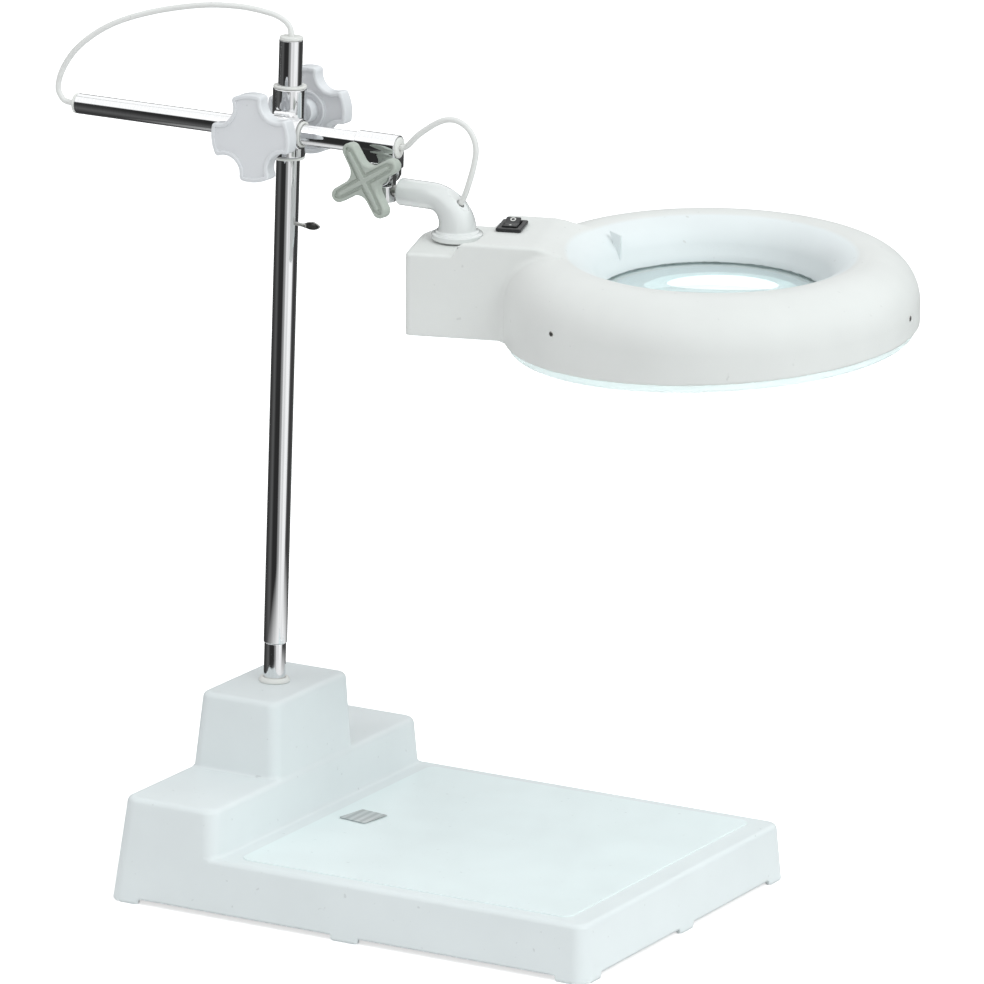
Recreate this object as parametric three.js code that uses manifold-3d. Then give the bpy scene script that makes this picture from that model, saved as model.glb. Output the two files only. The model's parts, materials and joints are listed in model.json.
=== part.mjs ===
// Illuminated ring magnifier on a weighted bench stand. Millimetres, +Z up, +X towards the user.
// Heights start at the table. Plan positions are laid out from the column axis, and the last
// group moves everything so that the origin is the middle of the footprint.
import * as THREE from 'three';
import { mergeVertices } from 'three/addons/utils/BufferGeometryUtils.js';
import Module from 'manifold-3d';

const wasm = await Module();
wasm.setup();

// ---------------------------------------------------------------- driving dimensions
const GAP = 0.3; // clearance between neighbouring pieces
const DEG = Math.PI / 180;
const ORIGIN_SHIFT = [-126.4, -6.3, 0]; // column axis to middle of the footprint

// stepped base moulding
const BASE_BACK = -35.5;
const BASE_FRONT = 278.1;
const BASE_HALF_WIDTH = 132.1;
const BASE_WALL = 3;
const BASE_DRAFT = 0.09;
const PLATE_TOP = 34.5;
const RISER_FRONT = 37;
const RISER_TOP = 62.7;
const RISER_INSET = 0.4; // the riser's walls stand this far inside the plate's
const PEDESTAL = { x: [-29, 30.1], half: 48.8, top: 108.3 };
const FOOT_LENGTH = 18;
const FOOT_HEIGHT = 3.2;
const COVER_BOTTOM = 3.6;
const COVER_TOP = 6;
const PANEL = { x0: 44, x1: 260, half: 119, corner: 7, sink: 1, thick: 1.4 };

// column
const COLUMN_R = 7;
const COLUMN_BORE = 6.3;
const COLUMN_FOOT = 132.5;
const COLUMN_TOP = 495.3;
const SPIGOT_R = 6.5;

// cross clamp
const CLAMP_LOW = 426.5;
const CLAMP_HIGH = 467;
const CLAMP_R = 10;
const COLUMN_LINER = { inner: 7.3, outer: 8.3, flange: 9.8 };
const CLAMP_BORE = 8.6;
const COLUMN_KNOB_Z = 450;
const STOP_Z = 386.5;

// arm
const ARM_Y = -18;
const ARM_Z = 444.5;
const ARM_R = 6;
const ARM_LEFT = -131.3;
const ARM_RIGHT = 80;
const ARM_SLEEVE = { half: 18.5, outer: 9, bore: 7.5 };
const ARM_LINER = { inner: 6.3, outer: 7.2, flange: 8.8 };
const COLLAR = { left: 56, right: 82.5, outer: 7.2, bore: 6.3 };

// tilt joint
const PIVOT_X = 74.5;
const PIVOT_Z = 428.5;
const BOLT_R = 2.5;
const EAR_R = 6.5;
const TONGUE_R = 5.6;
const KNUCKLE_R = 6.2;

// elbow and its spigot; the elbow group starts on the spigot axis
const SPIGOT_Z = 419;
const ELBOW_ROLL = 3.5 * DEG;
const ELBOW_START = 84.5;
const ELBOW_BEND = 17;
const FLANGE_X = 121.5;
const DECK_DROP = 24.3; // spigot axis down to the head's rear deck

// head; its group starts on the swivel axis at the rear deck
const HEAD_SWIVEL = 15 * DEG;
const RING_X = 150;
const RING_R = 120;
const RING_TOP = 2.5; // crest, above the rear deck
const RING_SHOULDER = 28;
const RING_FOOT = -43.8; // lower edge, at the middle of the ring
const FOOT_CLIMB = 0.05; // slope of the lower edge, up and away from the neck
const RING_WALL = 2.5;
const HOLE_R = 86.4; // where the well's rounded lip meets the crest
const WELL_WALL = [[72, -3.5], [74.5, -0.4], [79, 1.7]]; // steep wall and lip, up from the lens ledge
const LENS_VISIBLE_R = 65;
const LENS_R = 68.2;
const LEDGE_Z = -20;
const NECK = { rear: -23.2, front: 60, half: 34.5, bottom: -49.3, deck: 7.5, corner: 30 };
const FLANGE_GAP = 1; // between the elbow's flange and the rear deck
const LAMP = { ring: 94, tube: 13, wall: 1, z: -22 };
const SWITCH = { x: 31, y: 6, long: 21.5, wide: 15 };

const CORD_R = 1.75;

// ---------------------------------------------------------------- finishes
const finish = (color, roughness, metalness = 0, extra = {}) =>
  new THREE.MeshStandardMaterial({ color, roughness, metalness, ...extra });
const FINISH = {
  shell: () => finish(0xe9edec, 0.45),
  panel: () => finish(0xeef4f4, 0.55),
  head: () => finish(0xe4e4df, 0.5),
  knob: () => finish(0xdcdee0, 0.4),
  beige: () => finish(0xacaea0, 0.5),
  chrome: () => finish(0xc9ccd0, 0.08, 1),
  steel: () => finish(0x8f9296, 0.35, 1),
  gloss: () => finish(0xe6eaea, 0.15),
  nylon: () => finish(0xe8e8e2, 0.5),
  black: () => finish(0x151617, 0.35),
  glass: () => finish(0xd6eef0, 0.03, 0, { transparent: true, opacity: 0.35 }),
  lamp: () => finish(0xf6f8f6, 0.3),
  diffuser: () => finish(0xf2f5f4, 0.4, 0, { transparent: true, opacity: 0.8 }),
  cord: () => finish(0xf0f1ee, 0.45),
  label: () => finish(0xb9bebc, 0.4, 0.4),
};

// ---------------------------------------------------------------- shape helpers
// Geometry to a solid that can be joined and cut.
function solid(geometry) {
  const bare = geometry.clone();
  bare.deleteAttribute('normal');
  bare.deleteAttribute('uv');
  const merged = mergeVertices(bare, 1e-4);
  const triVerts = merged.index
    ? new Uint32Array(merged.index.array)
    : Uint32Array.from({ length: merged.attributes.position.count }, (_, i) => i);
  const vertProperties = new Float32Array(merged.attributes.position.array);
  return new wasm.Manifold(new wasm.Mesh({ numProp: 3, vertProperties, triVerts }));
}

function geometryOf(body) {
  const mesh = body.getMesh();
  const geometry = new THREE.BufferGeometry();
  geometry.setAttribute('position', new THREE.BufferAttribute(new Float32Array(mesh.vertProperties), 3));
  geometry.setIndex(new THREE.BufferAttribute(new Uint32Array(mesh.triVerts), 1));
  geometry.computeVertexNormals();
  return geometry;
}

const join = (...bodies) => bodies.reduce((sum, body) => sum.add(body));
const cut = (body, ...tools) => tools.reduce((rest, tool) => rest.subtract(tool), body);

// A box between two corners.
function box(x0, x1, y0, y1, z0, z1) {
  const geometry = new THREE.BoxGeometry(x1 - x0, y1 - y0, z1 - z0);
  return solid(geometry.translate((x0 + x1) / 2, (y0 + y1) / 2, (z0 + z1) / 2));
}

// A round bar of radius r from one point to another.
function bar(r, from, to, sides = 20) {
  const start = new THREE.Vector3(...from);
  const along = new THREE.Vector3(...to).sub(start);
  const geometry = new THREE.CylinderGeometry(r, r, along.length(), sides);
  geometry.translate(0, along.length() / 2, 0);
  const turn = new THREE.Quaternion();
  turn.setFromUnitVectors(new THREE.Vector3(0, 1, 0), along.clone().normalize());
  geometry.applyQuaternion(turn);
  return solid(geometry.translate(start.x, start.y, start.z));
}

// A body of revolution about Z from a closed [radius, z] outline.
function turned(outline, sides = 24) {
  const points = outline.map(([r, z]) => new THREE.Vector2(r, z));
  const onAxis = outline[0][0] === 0 && outline[outline.length - 1][0] === 0;
  if (!onAxis) points.push(points[0].clone());
  const area = points.reduce((sum, p, i) => {
    const q = points[(i + 1) % points.length];
    return sum + p.x * q.y - q.x * p.y;
  }, 0);
  if (area < 0) points.reverse();
  const geometry = new THREE.LatheGeometry(points, sides).rotateX(Math.PI / 2);
  return solid(geometry);
}

function hexNut(corner, bore, z0, z1) {
  return cut(bar(corner, [0, 0, z0], [0, 0, z1], 6), bar(bore, [0, 0, z0 - 1], [0, 0, z1 + 1]));
}

// Points of an arc in an outline, angles in degrees.
function arc(cx, cy, r, from, to, steps = 4) {
  return Array.from({ length: steps + 1 }, (_, i) => {
    const a = (from + ((to - from) * i) / steps) * DEG;
    return [cx + r * Math.cos(a), cy + r * Math.sin(a)];
  });
}

function roundedRect(x0, x1, y0, y1, r) {
  const shape = new THREE.Shape();
  shape.moveTo(x0 + r, y0);
  shape.lineTo(x1 - r, y0);
  shape.absarc(x1 - r, y0 + r, r, -Math.PI / 2, 0, false);
  shape.lineTo(x1, y1 - r);
  shape.absarc(x1 - r, y1 - r, r, 0, Math.PI / 2, false);
  shape.lineTo(x0 + r, y1);
  shape.absarc(x0 + r, y1 - r, r, Math.PI / 2, Math.PI, false);
  shape.lineTo(x0, y0 + r);
  shape.absarc(x0 + r, y0 + r, r, Math.PI, 1.5 * Math.PI, false);
  return shape;
}

// A flat shape given thickness from z0 to z1, with optional rounded edges.
function slab(shape, z0, z1, round = 0, curveSegments = 4) {
  const geometry = new THREE.ExtrudeGeometry(shape, {
    depth: z1 - z0 - 2 * round,
    bevelEnabled: round > 0,
    bevelThickness: round,
    bevelSize: round,
    bevelOffset: -round,
    bevelSegments: 1,
    curveSegments,
  });
  return solid(geometry.translate(0, 0, z0 + round));
}

// A moulded block: upright rounded corners, walls that lean in as they rise, rounded top edge.
function mouldedBlock([x0, x1], half, [z0, z1], { corner, draft, round }) {
  const geometry = new THREE.ExtrudeGeometry(roundedRect(x0, x1, -half, half, corner), {
    depth: z1 - z0,
    bevelEnabled: round > 0,
    bevelThickness: round,
    bevelSize: round,
    bevelOffset: -round,
    bevelSegments: 2,
    curveSegments: 4,
  });
  geometry.translate(0, 0, z0 - round);
  const at = geometry.attributes.position;
  const middle = (x0 + x1) / 2;
  for (let i = 0; i < at.count; i += 1) {
    const lean = draft * (at.getZ(i) - z0);
    at.setX(i, at.getX(i) - Math.sign(at.getX(i) - middle) * lean);
    at.setY(i, at.getY(i) - Math.sign(at.getY(i)) * lean);
  }
  return solid(geometry).intersect(box(x0 - 50, x1 + 50, -half - 50, half + 50, z0, z1 + 1));
}

// A round cord of constant section along a smooth route, or a tube where it has a bore.
function cordAlong(points, r, sides, steps, bore = 0) {
  const route = new THREE.CatmullRomCurve3(points.map((p) => new THREE.Vector3(...p)));
  const section = new THREE.Shape();
  section.absarc(0, 0, r, 0, 2 * Math.PI, false);
  if (bore > 0) section.holes.push(new THREE.Path().absarc(0, 0, bore, 0, 2 * Math.PI, true));
  return new THREE.ExtrudeGeometry(section, { steps, curveSegments: sides / 2, extrudePath: route });
}

// Names a solid as a mesh; `inside` is the group that it is placed in.
function part(name, body, look, inside) {
  const geometry = body.getMesh ? geometryOf(body) : body;
  const mesh = new THREE.Mesh(geometry, FINISH[look]());
  mesh.name = name;
  inside.add(mesh);
  return mesh;
}

// ---------------------------------------------------------------- groups
const object = new THREE.Group();
const stand = new THREE.Group();
stand.position.set(...ORIGIN_SHIFT);
object.add(stand);

const elbowGroup = new THREE.Group();
elbowGroup.position.set(0, ARM_Y, SPIGOT_Z);
elbowGroup.rotation.x = ELBOW_ROLL;
stand.add(elbowGroup);

const headGroup = new THREE.Group();
headGroup.position.set(FLANGE_X, 0, -DECK_DROP);
headGroup.rotation.z = HEAD_SWIVEL;
elbowGroup.add(headGroup);

// ---------------------------------------------------------------- base
const SCREW_SPOTS = [
  [-17, -108, RISER_TOP],
  [-17, 108, RISER_TOP],
  [258, -108, PLATE_TOP],
  [258, 108, PLATE_TOP],
];

function baseShell() {
  const outer = { corner: 9, draft: BASE_DRAFT, round: 3 };
  const inner = { corner: 6.5, draft: BASE_DRAFT, round: 0 };
  const w = BASE_WALL;
  const riserBack = BASE_BACK + RISER_INSET;
  const riserHalf = BASE_HALF_WIDTH - RISER_INSET;
  const [pedestalBack, pedestalFront] = PEDESTAL.x;
  const pedestalFoot = RISER_TOP - 6;
  const pedestalLook = { corner: 7, draft: 0.07 };
  const outside = join(
    mouldedBlock([BASE_BACK, BASE_FRONT], BASE_HALF_WIDTH, [0, PLATE_TOP], outer),
    mouldedBlock([riserBack, RISER_FRONT], riserHalf, [0, RISER_TOP], outer),
    mouldedBlock(PEDESTAL.x, PEDESTAL.half, [pedestalFoot, PEDESTAL.top], { ...pedestalLook, round: 3 }),
  );
  const inside = join(
    mouldedBlock([BASE_BACK + w, BASE_FRONT - w], BASE_HALF_WIDTH - w, [-1, PLATE_TOP - w], inner),
    mouldedBlock([riserBack + w, RISER_FRONT - w], riserHalf - w, [5, RISER_TOP - w], inner),
    mouldedBlock([pedestalBack + w, pedestalFront - w], PEDESTAL.half - w, [pedestalFoot, PEDESTAL.top - w], {
      ...pedestalLook,
      round: 0,
    }),
  );
  const bosses = SCREW_SPOTS.map(([x, y, top]) => bar(5, [x, y, COVER_TOP + GAP], [x, y, top - 2], 16));
  const pilots = SCREW_SPOTS.map(([x, y]) => bar(1.9, [x, y, 0], [x, y, 20], 12));
  const { x0, x1, half, corner, sink } = PANEL;
  const recess = slab(roundedRect(x0, x1, -half, half, corner), PLATE_TOP - sink, PLATE_TOP + 2);
  const middle = (BASE_BACK + BASE_FRONT) / 2;
  const reliefs = [-1, 1].flatMap((side) => {
    const near = middle + (side * FOOT_LENGTH) / 2;
    const far = side < 0 ? BASE_BACK + FOOT_LENGTH + 2 : BASE_FRONT - FOOT_LENGTH - 2;
    const [a, b] = [Math.min(near, far), Math.max(near, far)];
    const [c, d] = side < 0 ? [-110, -9] : [9, 110];
    return [box(a, b, -150, 150, -1, FOOT_HEIGHT), box(-60, 300, c, d, -1, FOOT_HEIGHT)];
  });
  return cut(
    join(cut(outside, inside), ...bosses),
    ...pilots,
    ...reliefs,
    recess,
    bar(SPIGOT_R + GAP, [0, 0, 90], [0, 0, 115]),
    bar(5.6, [BASE_BACK - 5, -60, 20], [BASE_BACK + 12, -60, 20], 20),
  );
}

part('base_shell', baseShell(), 'shell', stand);

const panelShape = roundedRect(
  PANEL.x0 + GAP,
  PANEL.x1 - GAP,
  -PANEL.half + GAP,
  PANEL.half - GAP,
  PANEL.corner - GAP,
);
const PANEL_BOTTOM = PLATE_TOP - PANEL.sink + GAP;
const PANEL_TOP = PANEL_BOTTOM + PANEL.thick;
part('work_panel', slab(panelShape, PANEL_BOTTOM, PANEL_TOP), 'panel', stand);

const label = part('rating_label', slab(roundedRect(-9.5, 9.5, -11.5, 11.5, 1), 0, 0.4), 'label', stand);
label.position.set(64, -3, PANEL_TOP + GAP);
label.rotation.z = -9 * DEG;

function baseCover() {
  const inset = BASE_WALL + GAP + 0.6;
  const half = BASE_HALF_WIDTH - inset;
  const shape = roundedRect(BASE_BACK + inset, BASE_FRONT - inset, -half, half, 6);
  const holes = SCREW_SPOTS.map(([x, y]) => bar(1.9, [x, y, 0], [x, y, 10], 12));
  return cut(slab(shape, COVER_BOTTOM, COVER_TOP), ...holes);
}
part('base_cover', baseCover(), 'black', stand);

SCREW_SPOTS.forEach(([x, y], i) => {
  const outline = [[0, 1.7], [3.4, 1.7], [3.4, 3.3], [1.6, 3.3], [1.6, 18], [0, 18]];
  part(`cover_screw_${i + 1}`, turned(outline, 12), 'steel', stand).position.set(x, y, 0);
});

part('ballast_weight', slab(roundedRect(52, 248, -104, 104, 6), COVER_TOP + GAP, 17.5), 'steel', stand);

function chokeBody() {
  const core = box(-16, 16, 46, 98, COVER_TOP + GAP, 40);
  const coil = slab(roundedRect(-22, 22, 55, 89, 6), COVER_TOP + 3, 38);
  return join(core, coil);
}
part('lamp_choke', chokeBody(), 'steel', stand);

function terminalBlock() {
  const block = box(-12, 8, -84, -44, COVER_TOP + GAP, 20);
  const wells = [-78, -68, -58, -50].map((y) => bar(2.2, [-2, y, 12], [-2, y, 25], 10));
  return cut(block, ...wells);
}
part('terminal_block', terminalBlock(), 'nylon', stand);

const grommetOutline = [[3.4, 0], [6.4, 0], [7.2, 0.8], [7.2, 2.2], [5.2, 2.2], [5.2, 9], [3.4, 9]];
const mainsGland = part('mains_gland', turned(grommetOutline, 20), 'black', stand);
mainsGland.position.set(BASE_BACK - 1.4, -60, 20);
mainsGland.rotation.y = Math.PI / 2;

// ---------------------------------------------------------------- column
const spigotOutline = [
  [3.8, 88],
  [SPIGOT_R, 88],
  [SPIGOT_R, COLUMN_FOOT - GAP],
  [5.9, COLUMN_FOOT + GAP],
  [5.9, 168],
  [3.8, 168],
];
part('column_spigot', turned(spigotOutline), 'chrome', stand);

const ferruleOutline = [[6.8, 108.6], [9.4, 108.6], [9.4, 109.8], [8.2, 111.2], [6.8, 111.2]];
part('column_ferrule', turned(ferruleOutline), 'nylon', stand);
part('spigot_washer', turned([[6.8, 103], [12, 103], [12, 105], [6.8, 105]], 24), 'steel', stand);
part('spigot_nut', hexNut(11, 6.8, 95, 102.7), 'steel', stand);

function columnTube() {
  const tube = turned([
    [COLUMN_BORE, COLUMN_FOOT],
    [COLUMN_R, COLUMN_FOOT],
    [COLUMN_R, COLUMN_TOP],
    [COLUMN_BORE, COLUMN_TOP],
  ]);
  return cut(tube, bar(1.6, [2, 0, STOP_Z], [12, 0, STOP_Z], 10));
}
part('column_tube', columnTube(), 'chrome', stand);

const capOutline = (bore, plug, flange, lip, depth) => [
  [bore, -depth],
  [plug, -depth],
  [plug, 0],
  [flange, 0],
  [flange, lip - 0.6],
  [flange - 0.8, lip],
  [bore, lip],
];
const columnCap = part('column_cap', turned(capOutline(2.1, 6, 6.9, 2.2, 10), 20), 'nylon', stand);
columnCap.position.set(0, 0, COLUMN_TOP + GAP);

// A small thumb screw in the side of the column, the stop under the clamp.
function stopScrew() {
  const stem = bar(1.2, [5, 0, STOP_Z], [12.2, 0, STOP_Z - 1], 10);
  const paddle = new THREE.Shape();
  paddle.absellipse(17, 0, 6, 2.6, 0, 2 * Math.PI, false, 0);
  const grip = new THREE.ExtrudeGeometry(paddle, { depth: 1.6, bevelEnabled: false, curveSegments: 6 });
  grip.rotateX(Math.PI / 2).translate(0, 0.8, STOP_Z);
  return join(stem, solid(grip));
}
part('stop_screw', stopScrew(), 'steel', stand);

// ---------------------------------------------------------------- cross clamp
function linerOutline({ inner, outer, flange }, low, high) {
  return [
    [inner, low - 1.6],
    [flange, low - 1.6],
    [flange, low - GAP],
    [outer, low - GAP],
    [outer, high + GAP],
    [flange, high + GAP],
    [flange, high + 1.6],
    [inner, high + 1.6],
  ];
}
part('column_liner', turned(linerOutline(COLUMN_LINER, CLAMP_LOW, CLAMP_HIGH)), 'nylon', stand);

const armLiner = part(
  'arm_liner',
  turned(linerOutline(ARM_LINER, -ARM_SLEEVE.half, ARM_SLEEVE.half)),
  'nylon',
  stand,
);
armLiner.position.set(0, ARM_Y, ARM_Z);
armLiner.rotation.y = Math.PI / 2;

function clampHead() {
  const { half, outer, bore } = ARM_SLEEVE;
  const body = join(
    bar(CLAMP_R, [0, 0, CLAMP_LOW], [0, 0, CLAMP_HIGH]),
    bar(outer, [-half, ARM_Y, ARM_Z], [half, ARM_Y, ARM_Z]),
    box(-7, 7, ARM_Y + 2, -4, ARM_Z - 9, ARM_Z + 9),
    bar(6.5, [0, ARM_Y - 6, ARM_Z], [0, ARM_Y - 13, ARM_Z]),
    bar(6.5, [0, 6, COLUMN_KNOB_Z], [0, 14, COLUMN_KNOB_Z]),
  );
  return cut(
    body,
    bar(CLAMP_BORE, [0, 0, CLAMP_LOW - 5], [0, 0, CLAMP_HIGH + 5]),
    bar(bore, [-half - 5, ARM_Y, ARM_Z], [half + 5, ARM_Y, ARM_Z]),
    bar(3.3, [0, ARM_Y - 4, ARM_Z], [0, ARM_Y - 20, ARM_Z], 16),
    bar(3.3, [0, 4, COLUMN_KNOB_Z], [0, 20, COLUMN_KNOB_Z], 16),
  );
}
part('clamp_head', clampHead(), 'chrome', stand);

// Four-lobed hand knob: a disc with four round bites, dished on its face and hollow behind.
function lobedOutline(radius, bite, biteCentre) {
  const shape = new THREE.Shape();
  const half = Math.acos((radius ** 2 + biteCentre ** 2 - bite ** 2) / (2 * radius * biteCentre));
  const inner = Math.acos((bite ** 2 + biteCentre ** 2 - radius ** 2) / (2 * bite * biteCentre));
  for (let i = 0; i < 4; i += 1) {
    const middle = i * 90 * DEG;
    shape.absarc(0, 0, radius, middle - 45 * DEG + half, middle + 45 * DEG - half, false);
    const a = middle + 45 * DEG;
    const back = a + Math.PI;
    const [x, y] = [biteCentre * Math.cos(a), biteCentre * Math.sin(a)];
    shape.absarc(x, y, bite, back + inner, back - inner, true);
  }
  return shape;
}

function lobedKnob() {
  const plate = slab(lobedOutline(26, 10, 27.5), 0, 10, 1, 3);
  const dish = slab(lobedOutline(23.6, 12.2, 27.5), 9.2, 11, 0, 3);
  const hollow = slab(lobedOutline(23.4, 12.6, 27.5), -1, 6, 0, 3);
  const hub = bar(7, [0, 0, -6], [0, 0, 7], 20);
  return cut(join(cut(plate, dish, hollow), hub), bar(3.3, [0, 0, -7], [0, 0, 5], 16));
}

// The knob's axis is turned from +Z to -Y (side -1) or +Y (side +1), and its lobes by `turn`.
function clampKnob(name, y, z, side, turn, screwLength) {
  const mount = new THREE.Group();
  mount.position.set(0, y, z);
  mount.rotation.set((-side * Math.PI) / 2, 0, 0);
  stand.add(mount);
  part(name, lobedKnob(), 'knob', mount).rotation.z = turn;
  part(`${name}_screw`, bar(3, [0, 0, 4.6], [0, 0, -screwLength], 16), 'steel', mount);
}
clampKnob('arm_knob', ARM_Y - 19.5, ARM_Z, -1, 8 * DEG, 11.9);
clampKnob('column_knob', 20.5, COLUMN_KNOB_Z, 1, -10 * DEG, 11.8);

// ---------------------------------------------------------------- arm and tilt joint
const armGroup = new THREE.Group();
armGroup.position.set(0, ARM_Y, ARM_Z);
armGroup.rotation.y = Math.PI / 2;
stand.add(armGroup);
const armOutline = [[5, ARM_LEFT], [ARM_R, ARM_LEFT], [ARM_R, ARM_RIGHT], [5, ARM_RIGHT]];
part('arm_tube', turned(armOutline), 'chrome', armGroup);

const armCap = part('arm_cap', turned(capOutline(2.1, 4.7, 5.9, 2, 9), 16), 'nylon', armGroup);
armCap.position.z = ARM_LEFT - GAP;
armCap.rotation.x = Math.PI;
const collarPlug = part('collar_plug', turned(capOutline(2.1, 4.7, 6, 3.6, 8), 16), 'nylon', armGroup);
collarPlug.position.z = ARM_RIGHT + GAP;

function armCollar() {
  const { left, right, outer, bore } = COLLAR;
  const y = [ARM_Y - 7, ARM_Y + 7];
  const body = join(
    bar(outer, [left, ARM_Y, ARM_Z], [right, ARM_Y, ARM_Z]),
    box(left + 1, right, y[0], y[1], PIVOT_Z + 3, ARM_Z - 3),
    box(PIVOT_X - EAR_R, PIVOT_X + EAR_R, y[0], y[1], PIVOT_Z, PIVOT_Z + 6),
    bar(EAR_R, [PIVOT_X, y[0], PIVOT_Z], [PIVOT_X, y[1], PIVOT_Z]),
  );
  return cut(
    body,
    bar(bore, [left - 5, ARM_Y, ARM_Z], [right + 5, ARM_Y, ARM_Z]),
    box(PIVOT_X - 8, right + 5, ARM_Y - 3, ARM_Y + 3, PIVOT_Z - 10, PIVOT_Z + 6.1),
    bar(BOLT_R + GAP, [PIVOT_X, y[0] - 5, PIVOT_Z], [PIVOT_X, y[1] + 5, PIVOT_Z], 16),
  );
}
part('arm_collar', armCollar(), 'chrome', stand);

const TILT_KNOB_Y = -42; // middle of the tilt knob's plate
function tiltBolt() {
  const shank = bar(BOLT_R, [PIVOT_X, TILT_KNOB_Y - 1, PIVOT_Z], [PIVOT_X, ARM_Y + 8, PIVOT_Z], 16);
  const head = bar(5, [PIVOT_X, ARM_Y + 7.3, PIVOT_Z], [PIVOT_X, ARM_Y + 11, PIVOT_Z], 6);
  return join(shank, head);
}
part('tilt_bolt', tiltBolt(), 'steel', stand);

// Knob with four slim crossed arms, a rib along each.
function crossKnob() {
  const arm = roundedRect(-24.2, 24.2, -4.6, 4.6, 4.5);
  const rib = roundedRect(-21.7, 21.7, -1, 1, 0.9);
  const arms = join(slab(arm, -4, 3.6, 0.8, 3), slab(rib, 3, 4.8, 0, 2));
  const hub = join(bar(9.5, [0, 0, -4], [0, 0, 3.6], 16), bar(5.5, [0, 0, -16.4], [0, 0, 0], 16));
  const body = join(arms, arms.rotate([0, 0, 90]), hub);
  return cut(body, bar(BOLT_R + GAP, [0, 0, -20], [0, 0, 1.4], 16));
}
const tiltKnob = part('tilt_knob', crossKnob(), 'beige', stand);
tiltKnob.position.set(PIVOT_X, TILT_KNOB_Y, PIVOT_Z);
tiltKnob.rotation.set(Math.PI / 2, 0, 0);
tiltKnob.rotateZ(32 * DEG);

function knuckle() {
  const body = join(
    bar(KNUCKLE_R, [PIVOT_X, ARM_Y, 412], [PIVOT_X, ARM_Y, PIVOT_Z - EAR_R - GAP]),
    box(PIVOT_X - TONGUE_R, PIVOT_X + TONGUE_R, ARM_Y - 2.7, ARM_Y + 2.7, 413, PIVOT_Z),
    bar(TONGUE_R, [PIVOT_X, ARM_Y - 2.7, PIVOT_Z], [PIVOT_X, ARM_Y + 2.7, PIVOT_Z], 24),
  );
  return cut(
    body,
    bar(3.5, [PIVOT_X - 10, ARM_Y, SPIGOT_Z], [PIVOT_X + 10, ARM_Y, SPIGOT_Z], 20),
    bar(BOLT_R + GAP, [PIVOT_X, ARM_Y - 5, PIVOT_Z], [PIVOT_X, ARM_Y + 5, PIVOT_Z], 16),
  );
}
part('knuckle', knuckle(), 'chrome', stand);

// ---------------------------------------------------------------- elbow
const ELBOW_ROUTE = [
  [ELBOW_START, 0, 0],
  [FLANGE_X - ELBOW_BEND, 0, 0],
  ...[18, 36, 54, 72].map((a) => [
    FLANGE_X - ELBOW_BEND + ELBOW_BEND * Math.sin(a * DEG),
    0,
    -ELBOW_BEND + ELBOW_BEND * Math.cos(a * DEG),
  ]),
  [FLANGE_X, 0, -ELBOW_BEND],
];
// the cord's hole in the outside of the bend
const CORD_ENTRY = { from: [129.6, 0, 9.5], to: [119.6, 0, -10.5] };

function elbow() {
  const bottom = FLANGE_GAP - DECK_DROP;
  const bell = turned([
    [0, bottom],
    [15, bottom],
    [15, bottom + 3.4],
    [13.6, bottom + 4.6],
    [11.4, bottom + 5.4],
    [10.7, bottom + 10],
    [9.4, bottom + 16],
    [8, bottom + 20],
    [0, bottom + 20],
  ]).translate([FLANGE_X, 0, 0]);
  const outside = join(solid(cordAlong(ELBOW_ROUTE, 7.9, 16, 14)), bell);
  const channel = bar(3.6, [FLANGE_X, 0, -30], [FLANGE_X, 0, -6], 16);
  return cut(
    outside,
    channel,
    bar(2.6, CORD_ENTRY.from, CORD_ENTRY.to, 14),
    bar(3.5, [ELBOW_START - 5, 0, 0], [ELBOW_START + 10, 0, 0], 20),
    bar(6.3, [FLANGE_X, 0, -30], [FLANGE_X, 0, bottom + 8], 24),
  );
}
part('elbow', elbow(), 'gloss', elbowGroup);

function elbowSpigot() {
  const shank = bar(3.2, [PIVOT_X - 9.5, 0, 0], [ELBOW_START + 9.5, 0, 0]);
  const core = bar(2.5, [PIVOT_X - 12, 0, 0], [PIVOT_X, 0, 0], 16);
  const groove = cut(bar(4, [PIVOT_X - 8.4, 0, 0], [PIVOT_X - 6.9, 0, 0]), core);
  return cut(shank, groove);
}
part('elbow_spigot', elbowSpigot(), 'steel', elbowGroup);

const clipOutline = [[2.8, PIVOT_X - 8.2], [5.4, PIVOT_X - 8.2], [5.4, PIVOT_X - 7.1], [2.8, PIVOT_X - 7.1]];
part('spigot_clip', turned(clipOutline, 20), 'steel', elbowGroup).rotation.y = Math.PI / 2;

// Threaded stem that hangs from the elbow through the deck, with its washer and nut below.
const stemOutline = [[3.8, -17], [6, -17], [6, 7.6], [3.8, 7.6]];
const swivelGroup = new THREE.Group();
swivelGroup.position.set(FLANGE_X, 0, -DECK_DROP);
elbowGroup.add(swivelGroup);
part('swivel_stem', turned(stemOutline, 24), 'steel', swivelGroup);
const swivelWasher = [[6.3, -4.6], [11, -4.6], [11, -2.8], [6.3, -2.8]];
part('swivel_washer', turned(swivelWasher), 'nylon', swivelGroup);
part('swivel_nut', hexNut(10, 6.3, -10.5, -4.9), 'steel', swivelGroup);

// ---------------------------------------------------------------- head
const RING_SIDES = 44;
const roundRing = (outline) => turned(outline, RING_SIDES).translate([RING_X, 0, 0]);
const RIM_SCREW_ANGLES = [-128, -8, 112];

// The neck's plan, with a wide corner at the far side of its rear end.
function neckPlan(inset) {
  const { rear, front, half, corner } = NECK;
  const [x0, x1, w, r] = [rear + inset, front - inset, half - inset, corner - inset];
  const plan = new THREE.Shape();
  plan.moveTo(x0, -w);
  plan.lineTo(x1, -w);
  plan.lineTo(x1, w);
  plan.lineTo(x0 + r, w);
  plan.absarc(x0 + r, w - r, r, Math.PI / 2, Math.PI, false);
  return plan;
}

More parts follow.
